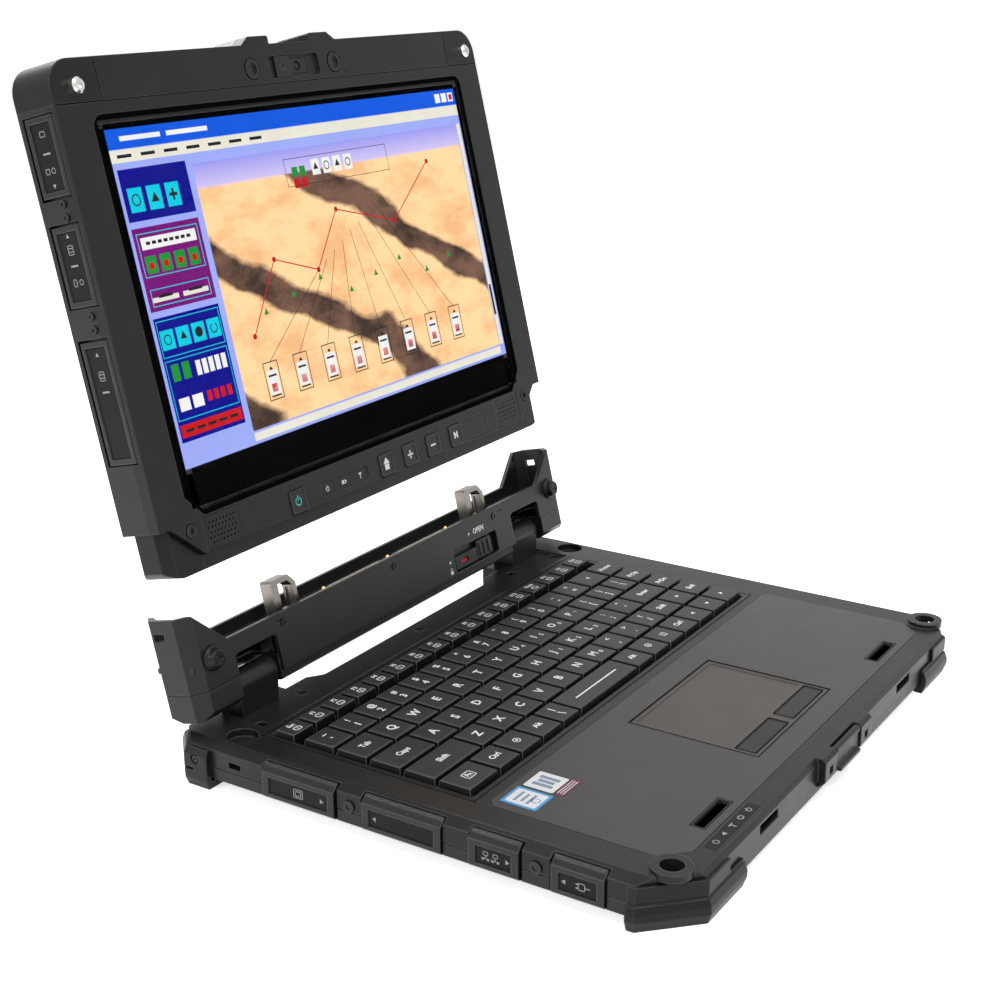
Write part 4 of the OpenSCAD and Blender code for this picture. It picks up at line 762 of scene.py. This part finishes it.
mark("guard_joints", joints_dark, TABLET, (0, 0, 0), seam_shade, "tablet")
# painted highlight on the lips of the guards' joints
mark("guard_lip_highlights", joints_lit, TABLET, (0, 0, 0), rim_highlight, "tablet")
print("guards:", GUARD_WIDE, "by", GUARD_TALL, "mm of", round(half, 1))

# %% [markdown]
# ## Buttons and lights of the tablet
# The five buttons under the screen carry a power sign, a house, plus, minus and the letter M. The signs lie
# in the sunk faces of the buttons, and the power sign is lit.

# %% Button signs
SIGN_SUNK, PANEL_SUNK = 0.3 * MM, 0.5 * MM
BUTTON_SIGNS = {
    "power_button": [("arc", 0, 0, 4.6), ("bar", 0, 1.6, 0.6, 2.8)],
    "home_button": [("tip", 0, 1.5, 6.2, 4.4), ("bar", 0, -1.4, 3.8, 3.0)],
    "plus_button": [("bar", 0, 0, 4.6, 1.0), ("bar", 0, 0, 1.0, 4.6)],
    "minus_button": [("bar", 0, 0, 4.6, 1.0)],
    "program_button": [("text", 0, 0, 5.4, "M")],
}
for name, strokes in BUTTON_SIGNS.items():
    low, high = local_box(name, TABLET)
    middle = (low + high) / 2
    spot = (middle.x, middle.y, high.z - SIGN_SUNK)
    ink = teal_ink if name == "power_button" else white_ink
    mark(name + "_sign", strokes, TABLET, spot, ink, name)

# %% [markdown]
# Between the first two buttons is the status panel, sunk a little under the bezel, with a power, a battery
# and an aerial sign. Lamps and microphones sit behind holes of a millimetre, drawn as dark dots that are a
# painted shade of the holes.

# %% Status panel and small holes
low, high = local_box("power_button", TABLET)
button_y = (low.y + high.y) / 2
status = [("arc", -46, 0, 2.6), ("bar", -46, 0.9, 0.4, 1.6)]
status += frame_of_bars(-32.5, 0, 3.2, 1.9, 0.4) + [("bar", -33, 0, 1.4, 1.0), ("bar", -30.6, 0, 0.5, 0.9)]
status += [("tip", -18.5, 0.8, 3.0, 2.2, DOWN), ("bar", -18.5, -0.6, 0.45, 2.4)]
mark("status_signs", status, TABLET, (0, button_y, -PANEL_SUNK), white_ink, "tablet")
# painted shade: dark dots in place of the holes
holes = [("dot", x, 0, 1.1) for x in (-58.5, -7, 36.6, 78.2)]
mark("microphone_holes", holes, TABLET, (0, button_y, 0), black_gloss, "tablet")
print("button row at", round(button_y / MM, 2), "mm over the tablet's lower edge")

# %% [markdown]
# ## The picture behind the glass
# The display shows a planning program: a title bar, a column of tools and a view over sandy ground. It
# lies in the thin gap between the display panel and the glass. The ground is a procedural pattern on the
# piece's own UV map, and everything else is flat tiles of lit colour. The black print round the picture
# is a frame of four bars at the back of the glass.

# %% Lit colours
def light_up(tree, shader, tint, strength):
    """Let a dark layer of the display give light of a colour."""
    tree.links.new(tint, shader.inputs["Emission Color"])
    shader.inputs["Base Color"].default_value = (0.004, 0.004, 0.004, 1)
    shader.inputs["Specular IOR Level"].default_value = 0.05
    shader.inputs["Emission Strength"].default_value = strength


def lit(name, colour):
    """A colour of the display, with the slight unevenness of a lit panel."""
    material, tree, shader = new_finish(name)
    dim = tuple(c * 0.93 for c in colour)
    light_up(tree, shader, ramp(tree, noise(tree, 60), [(0.3, dim), (0.7, colour)]), 1.0)
    return material


# %% [markdown]
# The view shows sandy ground with dark hollows under a lilac sky. A bent wave pattern tells sand from
# hollows, a noise gives both their ripples, and the height in the view says where the sky starts.

# %% Sandy ground
def sandy_ground():
    """Dunes with dark hollows under a lilac sky, on the piece's UV map."""
    material, tree, shader = new_finish("picture_ground")
    where = node(tree, "ShaderNodeTexCoord")
    dunes = node(tree, "ShaderNodeTexWave", bands_direction="DIAGONAL", Scale=0.95, Distortion=4.0,
                 Detail=6.0, Detail_Scale=1.3)
    ripples = node(tree, "ShaderNodeTexNoise", Scale=6.0, Detail=12.0, Roughness=0.62)
    height = node(tree, "ShaderNodeSeparateXYZ")
    for pattern in (dunes, ripples, height):
        tree.links.new(where.outputs["UV"], pattern.inputs["Vector"])
    grains = ripples.outputs["Fac"]
    sand = ramp(tree, grains, [(0.38, (0.86, 0.47, 0.22)), (0.54, (1.0, 0.66, 0.34))])
    hollow = ramp(tree, grains, [(0.42, (0.05, 0.028, 0.02)), (0.6, (0.19, 0.1, 0.065))])
    shade = ramp(tree, dunes.outputs["Fac"], [(0.1, (1, 1, 1)), (0.2, (0, 0, 0))])
    ground = blend_colours(tree, shade, sand, hollow)
    over = ramp(tree, height.outputs["Y"], [(0.905, (0, 0, 0)), (0.912, (1, 1, 1))])
    sky = ramp(tree, height.outputs["Y"], [(0.91, (0.6, 0.52, 0.84)), (1.0, (0.3, 0.3, 0.8))])
    light_up(tree, shader, blend_colours(tree, over, ground, sky), 1.1)
    return material


# %% [markdown]
# Everything on the display is laid out from the lower left corner of its lit area, in millimetres. Tiles of
# one colour share a layer, and the layers are a few hundredths of a millimetre apart, so nothing flickers
# where they overlap.

# %% Layers of the display
low, high = local_box("display_panel", TABLET)
glass_low, glass_high = local_box("display_glass", TABLET)
PANEL_EDGE = 2.4 * MM
LAYER = 0.02 * MM
corner = Vector((low.x + PANEL_EDGE, low.y + PANEL_EDGE, high.z))
WIDE = (high.x - low.x - 2 * PANEL_EDGE) / MM
TALL = (high.y - low.y - 2 * PANEL_EDGE) / MM
VIEW = (50, 6.4, WIDE - 5, TALL - 20)
print("picture:", round(WIDE, 1), "by", round(TALL, 1), "mm")


def tile(x0, y0, x1, y1):
    """A filled rectangle between any two opposite corners."""
    return ("bar", (x0 + x1) / 2, (y0 + y1) / 2, abs(x1 - x0), abs(y1 - y0))


def row(count, x, y, step, width, height):
    """Tiles side by side, from their lower left corner."""
    return [tile(x + step * i, y, x + step * i + width, y + height) for i in range(count)]


def on_screen(name, strokes, material, layer):
    """Tiles of one colour, a given number of layers over the panel."""
    spot = corner + Vector((0, 0, LAYER * (layer + 0.5)))
    obj = mark(name, strokes, TABLET, (0, 0, 0), material, "tablet")
    flat = Matrix.Diagonal((1, 1, LAYER / INK, 1))
    obj.data.transform(TABLET @ Matrix.Translation(spot) @ flat @ TABLET.inverted())


# %% [markdown]
# Black print on the inside of the glass hides the rim of the panel, and a rubber seal runs round the glass.
# Both stop short of the lower corners, which are cut off, and there the seal is a slanting bar. A loop over
# the two ends makes what the left and the right have in common.

# %% Black print and seal of the glass
CUT_WIDE, CUT_TALL, PRINT_ROUND, SEAL_ROUND = 10, 11, 6, 2
PRINT_GAP, SEAL_GAP, SEAL, SLANT = 0.3, 0.1, 2.2, 1.6
(left, base), (right_end, top_end) = (((point - corner) / MM).xy for point in (glass_low, glass_high))
border = [tile(left + CUT_WIDE, base + PRINT_GAP, right_end - CUT_WIDE, 0),
          tile(left + PRINT_ROUND, TALL, right_end - PRINT_ROUND, top_end - PRINT_GAP)]
seal = [tile(left + CUT_WIDE, base + SEAL_GAP, right_end - CUT_WIDE, base + SEAL),
        tile(left + SEAL_ROUND, top_end - SEAL, right_end - SEAL_ROUND, top_end - SEAL_GAP)]
for end, lit_edge, inward in ((left, 0, 1), (right_end, WIDE, -1)):
    border += [tile(end + inward * PRINT_GAP, base + CUT_TALL, lit_edge, top_end - PRINT_ROUND)]
    seal += [tile(end + inward * SEAL_GAP, base + CUT_TALL, end + inward * SEAL, top_end - SEAL_ROUND)]
    high_end = (end + inward * 0.6, base + CUT_TALL + 0.4)
    low_end = (end + inward * (CUT_WIDE + 0.4), base + 0.8)
    seal += [line(*high_end, *low_end, SLANT)]
on_screen("glass_border", border, black_print, 2)
mark("glass_seal", seal, TABLET, (corner.x, corner.y, glass_high.z), black_print, "tablet")
print("glass:", round(right_end - left, 1), "by", round(top_end - base, 1), "mm")

# %% [markdown]
# The ground is one sheet with its own UV map, so the dunes follow the sheet. A plane gets rounded corners in
# edit mode and a thin wall from a modifier, as a real layer of film has.

# %% View over the ground
FILM_HEIGHT, FILM_WALL, FILM_CORNER = 1.6 * LAYER, LAYER / 4, 0.6 * MM
x0, y0, x1, y1 = (v * MM for v in VIEW)
film = TABLET @ Matrix.Translation(corner + Vector((0, 0, FILM_HEIGHT)))
view = sheet("picture_view", (x0, y0), (x1, y1), FILM_WALL, FILM_CORNER, film)
dress(view, sandy_ground(), "tablet")
print("view:", len(view.data.vertices), "points, UV map:", view.data.uv_layers[0].name)

# %% [markdown]
# The rest of the program is drawn with rows of tiles, one piece for each colour. Each colour sits one layer
# higher than the one behind it, and a loop over a row is easier to change than a list of corners.

# %% Tiles of the picture
on_screen("picture_frame", [tile(0, 0, WIDE, TALL)], lit("lit_lilac", (0.36, 0.43, 0.97)), 0)
on_screen("picture_title", [tile(0, TALL - 9, WIDE, TALL)], lit("lit_blue", (0.0, 0.1, 0.78)), 1)
cream = [tile(0, TALL - 15, WIDE, TALL - 9.3), tile(VIEW[2] + 0.8, VIEW[1], WIDE - 1, VIEW[3])]
cream += [tile(VIEW[0], 1.4, VIEW[2], 5.4)] + row(2, 5, 77, 20, 17, 5)
on_screen("picture_bars", cream, lit("lit_cream", (0.84, 0.82, 0.7)), 1)
panels = [tile(2, 114, 46, TALL - 18), tile(2, 12, 46, 70)]
on_screen("picture_panels", panels, lit("lit_navy", (0.0, 0.0, 0.27)), 1)
on_screen("picture_options", [tile(2, 73, 46, 111)], lit("lit_purple", (0.19, 0.003, 0.19)), 1)
cyan = row(3, 5, 118, 12, 9, 11) + row(4, 4, 55, 10.4, 8.6, 9) + frame_of_bars(24, 79, 39, 8, 0.4)
cyan += frame_of_bars(24, 98.5, 40, 20, 0.4) + frame_of_bars(24, 60, 42, 17, 0.4)
cyan += frame_of_bars(24, 36, 42, 28, 0.4)
on_screen("picture_tools", cyan, lit("lit_cyan", (0.0, 0.64, 0.8)), 2)

# %% [markdown]
# The small signs and fields on top of the tools and the bars are green and white. Triangles on the ground
# stand for the marks of a map, and a loop spreads them evenly.

# %% Small tiles of the picture
CARDS, CARD_X, CARD_STEP = 8, 72, 23
green = row(4, 6, 90, 9.4, 7, 8) + row(2, 6, 40, 7, 5, 8)
green += [("tip", CARD_X + 6 + CARD_STEP * i, 60 + 5 * (i % 3), 4, 4.4, UP) for i in range(CARDS)]
green += row(2, 120, 122, 6, 4.6, 4.6)
on_screen("picture_green", green, lit("lit_green", (0.01, 0.3, 0.04)), 3)
white = [tile(6, 101, 42, 106.5), tile(8, TALL - 5.6, 34, TALL - 3.4), tile(38, TALL - 5.6, 66, TALL - 3.4)]
white += row(5, 22, 40, 4.4, 3.2, 7) + row(3, WIDE - 20, TALL - 7, 6.4, 5, 5)
white += row(CARDS, CARD_X - 4, 20, CARD_STEP, 8, 12) + row(4, 136, 121, 9, 6.6, 8) + row(2, 6, 26, 9, 7, 6)
on_screen("picture_labels", white, lit("lit_white", (0.92, 0.92, 0.9)), 3)
print("white tiles:", len(white))

# %% [markdown]
# A planned route crosses the ground in red. The line helper turns a bar from one point to another, so the
# route is just its list of corners, with a dot on each.

# %% Route of the picture
route = [(66, 50), (92, 84), (124, 74), (148, 102), (196, 90), (236, 118)]
red = [line(*a, *b, 0.6) for a, b in zip(route, route[1:])] + [("dot", x, y, 2.8) for x, y in route]
red += [tile(3, 14, 45, 20), tile(WIDE - 6, TALL - 6, WIDE - 3, TALL - 3)] + row(4, 25, 27, 4.6, 3.2, 5)
red += row(CARDS, CARD_X - 2, 21.5, CARD_STEP, 4, 4) + row(4, 8, 92, 9.4, 3, 3)
red += row(2, 120, 116, 6, 4.6, 4.6)
on_screen("picture_route", red, lit("lit_red", (0.6, 0.006, 0.01)), 4)
print("corners of the route:", len(route))

# %% [markdown]
# Fine dark lines link the route to the cards below it, and dark bars stand for the words of the program.
# Real words would be too small to read here and would tie the picture to one use.

# %% Fine lines of the picture
dark = frame_of_bars(158, 124, 86, 14, 0.3) + [tile(WIDE - 4, 24, WIDE - 2, 42)]
for i in range(CARDS):
    x = CARD_X + CARD_STEP * i
    dark += frame_of_bars(x, 27, 11, 19, 0.5) + [("bar", x, 29.5, 6, 1.0), ("bar", x, 19.5, 7, 0.8)]
    dark += [("tip", x, 33, 3.4, 2.4), line(x, 36, 124 + 8 * i, 74 + 4 * i, 0.3)]
dark += [(kind, 8.3 + 10.4 * i, 59.5, 5) for i, kind in enumerate(("ring", "tip", "dot", "arc"))]
dark += [("ring", 9.5, 123.5, 5.6), ("tip", 21.5, 123, 6, 6)]
dark += [("bar", 33.5, 123.5, 5.4, 1.4), ("bar", 33.5, 123.5, 1.4, 5.4)]
dark += [(kind, 139.3 + 9 * i, 125, 4.6) for i, kind in enumerate(("tip", "ring", "tip", "ring"))]
dark += row(7, 4, TALL - 13, 15, 9, 1.5) + row(8, 9, 103, 3.8, 2.6, 1.5) + row(2, 9, 78.7, 20, 9, 1.5)
dark += row(5, 6, 16.2, 7.6, 5.6, 1.4)
on_screen("picture_lines", dark, lit("lit_dark", (0.012, 0.012, 0.02)), 5)

# %% [markdown]
# ## Covers and doors
# Each cover of the dock and each door of the tablet has a coarse frame round a smooth, darker field that
# carries its signs: a triangle where a fingernail lifts it and a sign for the socket behind. The field is
# a thin inlay in the sunk face of the part, and moves with it.

# %% Signs of the sockets
def monitor(x):
    """A screen in a frame."""
    return frame_of_bars(x, 0, 5.4, 4.4, 0.4) + frame_of_bars(x, 0, 3.4, 2.6, 0.4)


def network(x):
    """Two boxes, each on a branching line."""
    signs = []
    for k in (-2.4, 2.4):
        signs += frame_of_bars(x + k, 1.1, 2.6, 2.0, 0.35)
        signs += [("bar", x + k, -1.2, 4.2, 0.35), ("bar", x + k, -0.4, 0.35, 1.4)]
        signs += [("bar", x + k + s, -1.7, 1.0, 0.8) for s in (-1.3, 1.3)]
    return signs


def plug(x):
    """A plug with two prongs and its cord."""
    prongs = [("bar", x - 0.4, k, 1.0, 0.6) for k in (-0.9, 0.9)]
    return frame_of_bars(x + 1.8, 0, 3.4, 3.4, 0.4) + prongs + [("bar", x + 4.6, 0, 2.2, 0.4)]


print("strokes of the signs:", len(monitor(0)), len(network(0)), len(plug(0)))

# %% [markdown]
# A smooth field lies a little over the sunk face of its cover, inside the coarse rim. The box of the cover
# gives its place, so one function serves the covers of the dock and, turned, the doors of the tablet.

# %% Fields and signs of the covers
RIM_SIDE, RIM_LOW, RIM_HIGH, COVER_SUNK = 3.5 * MM, 2.7 * MM, 5.7 * MM, 0.8 * MM
FIELD_UNDER, FIELD_OVER, FIELD_ROUND = 0.1 * MM, 0.12 * MM, 0.08 * MM
COVER_SIGNS = {
    "dock_cover_1": monitor(0) + [("tip", 13, 0, 2.6, 2.6, RIGHT)],
    "dock_cover_2": [("tip", -14, 0, 2.6, 2.6, LEFT)],
    "dock_cover_3": network(-1.5) + [("tip", 6.6, 0, 2.6, 2.6, RIGHT)],
    "dock_cover_4": plug(0) + [("tip", -6.4, 0, 2.6, 2.6, LEFT)],
}


def add_fields(signs, place, sunk, rim_side, rim_high):
    """A smooth field with its signs on each cover or door."""
    for name, strokes in signs.items():
        low, high = local_box(name, place)
        field_low = (low.x + rim_side, low.y + RIM_LOW, high.z - sunk - FIELD_UNDER)
        field_high = (high.x - rim_side, high.y - rim_high, high.z - sunk + FIELD_OVER)
        field = block(name + "_field", field_low, field_high, place, FIELD_ROUND)
        dress(field, field_plastic, name)
        spot = ((low.x + high.x) / 2, (field_low[1] + field_high[1]) / 2, field_high[2])
        mark(name + "_signs", strokes, place, spot, grey_ink, name)


add_fields(COVER_SIGNS, DOCK_LEFT, COVER_SUNK, RIM_SIDE, RIM_HIGH)
print("covers:", len(COVER_SIGNS))

# %% [markdown]
# The doors on the edge of the tablet are narrow and upright, so their signs stand one over another. They are
# drawn in the frame of that edge, which leans back with the tablet.

# %% Signs of the tablet's doors
DOOR_SUNK, DOOR_RIM = 0.6 * MM, 3.1 * MM


def card(y):
    """A card with two lines on it."""
    return frame_of_bars(0, y, 3.4, 4.4, 0.35) + [("bar", 0, y + k, 2.4, 0.35) for k in (-0.8, 0.8)]


DOOR_SIGNS = {
    "tablet_door_3": frame_of_bars(0, 10, 3.4, 2.6, 0.35) + [("bar", 0, 1.5, 4.4, 0.8)]
    + frame_of_bars(-2, -6, 2.6, 2.6, 0.35) + [("ring", 1.6, -6, 2.6), ("tip", 0, -12.4, 2.4, 2.4, DOWN)],
    "tablet_door_2": [("tip", 0, 13.4, 2.4, 2.4, UP)] + card(7.4) + [("bar", 0, 0.4, 4.4, 0.8)]
    + frame_of_bars(-2, -7, 2.2, 3.4, 0.35) + [("ring", 1.8, -7, 2.6)],
    "tablet_door_1": [("tip", 0, 22, 2.4, 2.4, UP)] + card(12.5) + [("bar", 0, 5.2, 4.4, 0.8)],
}
add_fields(DOOR_SIGNS, TABLET_LEFT, DOOR_SUNK, DOOR_RIM, RIM_LOW)
print("doors:", len(DOOR_SIGNS))

# %% [markdown]
# ## Marks of the cradle
# The thumb piece that frees the tablet has an arrow and a word over it, the lock beside it has an arrow
# and a padlock, and a red field in the lock's notch shows that it is open.

# %% Release and lock
NOTCH_IN, NOTCH_SUNK = 9 * MM, 1.0 * MM
low, high = local_box("release_slider", CRADLE)
x, y = (low.x + high.x) / 2 / MM, high.y / MM
release_word = [("tip", x - 13, y + 6.2, 2.4, 2.2, RIGHT), ("text", x - 3.2, y + 6.2, 4.2, "OPEN")]
low, high = local_box("lock_slider", CRADLE)
x, y = low.x / MM, (low.y + high.y) / 2 / MM
padlock = [("tip", x - 6, y + 2.6, 2.4, 2.4, UP), ("bar", x - 6, y - 3.2, 2.4, 1.9)]
padlock += [("arc", x - 6, y - 1.7, 1.9, 2.2, DOWN)]
mark("cradle_signs", release_word + padlock, CRADLE, (0, 0, 0), white_ink, "cradle")
notch = (low.x + NOTCH_IN, (low.y + high.y) / 2, high.z - NOTCH_SUNK)
mark("lock_open_field", [("bar", 0, 0, 6.4, 2.4)], CRADLE, notch, red_ink, "lock")
print("lock at", round(x, 1), "mm")

# %% [markdown]
# ## Light strip and labels of the deck
# On the deck's front rim sits a smooth strip with five small signs for the lamps behind it. It is a moulded
# inlay with rounded edges, and a pale frame round it is a painted highlight on the deck's rim.

# %% Light strip
STRIP_X, STRIP_FRONT = -106 * MM, 4.6 * MM
STRIP_WIDE, STRIP_DEEP, STRIP_RIM = 44, 6.2, (0.6, 0.3)
STRIP_UNDER, STRIP_OVER, STRIP_ROUND = 0.3 * MM, 0.14 * MM, 0.1 * MM
STRIP = facing((STRIP_X, palm_low[1] - STRIP_FRONT, deck[2]), (1, 0, 0), (0, 1, 0))
x, y = STRIP_WIDE / 2 * MM, STRIP_DEEP / 2 * MM
strip = block("light_strip", (-x, -y, -STRIP_UNDER), (x, y, STRIP_OVER), STRIP, STRIP_ROUND)
dress(strip, field_plastic, "dock")
edge = around(0, 0, STRIP_WIDE, STRIP_DEEP, STRIP_RIM)
# painted highlight on the deck's rim round the strip
mark("light_strip_edge_highlight", edge, STRIP, (0, 0, 0), rim_highlight, "dock")
lamps = [("ring", -16, 0, 3.0), ("tip", -8, 0, 3.0, 3.0, LEFT), ("bar", 0, 1.0, 3.2, 0.6)]
lamps += [("bar", 0, -0.5, 0.6, 2.4)] + frame_of_bars(8, 0, 3.4, 2.6, 0.5)
lamps += [("arc", 16, 0, 3.0), ("bar", 16, 1.0, 0.5, 1.5)]
mark("light_signs", lamps, STRIP, (0, 0, STRIP_OVER), grey_ink, "dock")
print("light strip:", STRIP_WIDE, "by", STRIP_DEEP, "mm")

# %% [markdown]
# Two small paper labels lie on the rear left corner of the palm rest. A label is a thin sheet with rounded
# corners, each sheet lies a little higher than the one it is stuck on, and bars and a ring stand for print.

# %% Paper labels
LABELS = Matrix.Translation((0, 0, palm_high[2]))
PAPER, PAPER_CORNER = 0.1 * MM, 0.8 * MM
FIRST_INK, SECOND_INK = 0.12 * MM, 0.16 * MM


def label(name, low, high, material, layer):
    """A thin sheet of paper on the palm rest, in millimetres."""
    place = LABELS @ Matrix.Translation((0, 0, PAPER / 2 * layer))
    low, high = [v * MM for v in low], [v * MM for v in high]
    dress(sheet(name, low, high, PAPER, PAPER_CORNER, place), material, "dock")


label("label_blue_edge", (-140, -86), (-124.5, -68), label_blue, 1)
label("label_blue_field", (-138.6, -84.6), (-125.9, -69.4), label_white, 2)
label("label_white", (-122.6, -84), (-107.5, -69), label_white, 1)
label("label_stripe", (-122.6, -89.6), (-106, -84.4), label_maroon, 1)
bars = [("ring", -132.2, -81.6, 4.2)]
for i in range(3):
    bars += [("bar", -132.2, -73 - 3.2 * i, 8.6 - 1.6 * (i % 2), 1.3)]
    bars += [("bar", -118.4 + 3.4 * i, -76.5, 2.2, 10 - 2 * (i % 2))]
mark("label_bars", bars, LABELS, (0, 0, SECOND_INK), label_ink, "dock")
lines = [("bar", -114.3, -85.7 - 1.3 * i, 13.5, 0.4) for i in range(3)]
mark("label_lines", lines, LABELS, (0, 0, FIRST_INK), label_white, "dock")
print("labels at", round(palm_high[2] / MM, 2), "mm")

# %% [markdown]
# The camera stands at the front left, a little above the deck, with a longish lens so that the near corner
# is not swollen. A quaternion that tracks from the eye to the aim leaves no angle to work out by hand.

# %% Camera
EYE = Vector((-0.6788, -0.4098, 0.3697))
AIM = Vector((0.043, 0.0477, 0.0873))
LENS = 60.0
camera_data = bpy.data.cameras.new("camera")
camera = bpy.data.objects.new("camera", camera_data)
bpy.context.scene.collection.objects.link(camera)
camera.location = EYE
camera.rotation_mode = "QUATERNION"
camera.rotation_quaternion = (AIM - EYE).to_track_quat("-Z", "Y")
camera_data.lens = LENS
camera_data.sensor_width = 36
camera_data.clip_start = 0.01
bpy.context.scene.camera = camera
print("camera:", round((AIM - EYE).length, 3), "m from its aim")

# %% [markdown]
# ## Floor and light
# The laptop stands on a seamless white floor. The floor is an ordinary pale surface that takes the
# shadow; for the camera, and for what mirrors it, a little of its own light lifts it to white, and the
# sky beyond it is white as well, so that no horizon shows.

# %% White floor
def seen_directly(tree):
    """1 for rays of the camera, of mirrors and of glass, 0 for the light that falls on things."""
    ray = node(tree, "ShaderNodeLightPath")
    first = node(tree, "ShaderNodeMath", operation="MAXIMUM")
    second = node(tree, "ShaderNodeMath", operation="MAXIMUM")
    tree.links.new(ray.outputs["Is Camera Ray"], first.inputs[0])
    tree.links.new(ray.outputs["Is Glossy Ray"], first.inputs[1])
    tree.links.new(first.outputs["Value"], second.inputs[0])
    tree.links.new(ray.outputs["Is Transmission Ray"], second.inputs[1])
    return second.outputs["Value"]


FLOOR_SIZE, FLOOR_GLOW, SKY_LIGHT = 60, 0.7, 0.3
WHITE = (1, 1, 1, 1)
deselect()
bpy.ops.mesh.primitive_plane_add(size=FLOOR_SIZE, location=(0, 0, 0))
floor = bpy.context.object
floor.name = "floor"
pale, pale_tree, pale_shader = new_finish("pale_floor")
pale_shader.inputs["Base Color"].default_value = (0.9, 0.9, 0.9, 1)
pale_shader.inputs["Roughness"].default_value = 0.7
pale_shader.inputs["Specular IOR Level"].default_value = 0.1
pale_shader.inputs["Emission Color"].default_value = WHITE
lifted = node(pale_tree, "ShaderNodeMath", operation="MULTIPLY")
pale_tree.links.new(seen_directly(pale_tree), lifted.inputs[0])
lifted.inputs[1].default_value = FLOOR_GLOW
pale_tree.links.new(lifted.outputs["Value"], pale_shader.inputs["Emission Strength"])
floor.data.materials.append(pale)
print("floor:", FLOOR_SIZE, "m across")

# %% [markdown]
# The sky gives a weak, even light on the laptop but is pure white where it is seen. A mix of two backgrounds
# does that: the rays that see it directly get the white one.

# %% Sky
world = bpy.data.worlds.new("studio")
bpy.context.scene.world = world
world.use_nodes = True
sky = world.node_tree
lit_sky = sky.nodes["Background"]
lit_sky.inputs["Color"].default_value = WHITE
lit_sky.inputs["Strength"].default_value = SKY_LIGHT
seen_sky = node(sky, "ShaderNodeBackground", Color=WHITE, Strength=1.0)
pick = node(sky, "ShaderNodeMixShader")
sky.links.new(seen_directly(sky), pick.inputs["Fac"])
sky.links.new(lit_sky.outputs["Background"], pick.inputs[1])
sky.links.new(seen_sky.outputs["Background"], pick.inputs[2])
sky.links.new(pick.outputs["Shader"], sky.nodes["World Output"].inputs["Surface"])
print("sky:", SKY_LIGHT)

# %% [markdown]
# Three large lamps give soft light without hard edges: one in front for the deck and the screen, one at
# the left for the row of covers, and one behind that draws the edges of the tablet.

# %% Lamps
LAMP_AIM = Vector((0, 0.02, 0.1))


def softbox(name, place, size, power):
    """A square lamp that points at the laptop."""
    data = bpy.data.lights.new(name, "AREA")
    data.size = size
    data.energy = power
    lamp = bpy.data.objects.new(name, data)
    bpy.context.scene.collection.objects.link(lamp)
    lamp.location = place
    lamp.rotation_mode = "QUATERNION"
    lamp.rotation_quaternion = (LAMP_AIM - Vector(place)).to_track_quat("-Z", "Y")


softbox("key_light", (-0.3, -0.7, 1.6), 0.9, 18)
softbox("side_light", (-1.4, 0.6, 0.9), 0.5, 9)
softbox("back_light", (0.5, 1.1, 1.3), 0.7, 22)
print("lamps:", len(bpy.data.lights))

# %% [markdown]
# Standard keeps the colours as they are written.

# %% Colour view
bpy.context.scene.view_settings.view_transform = "Standard"
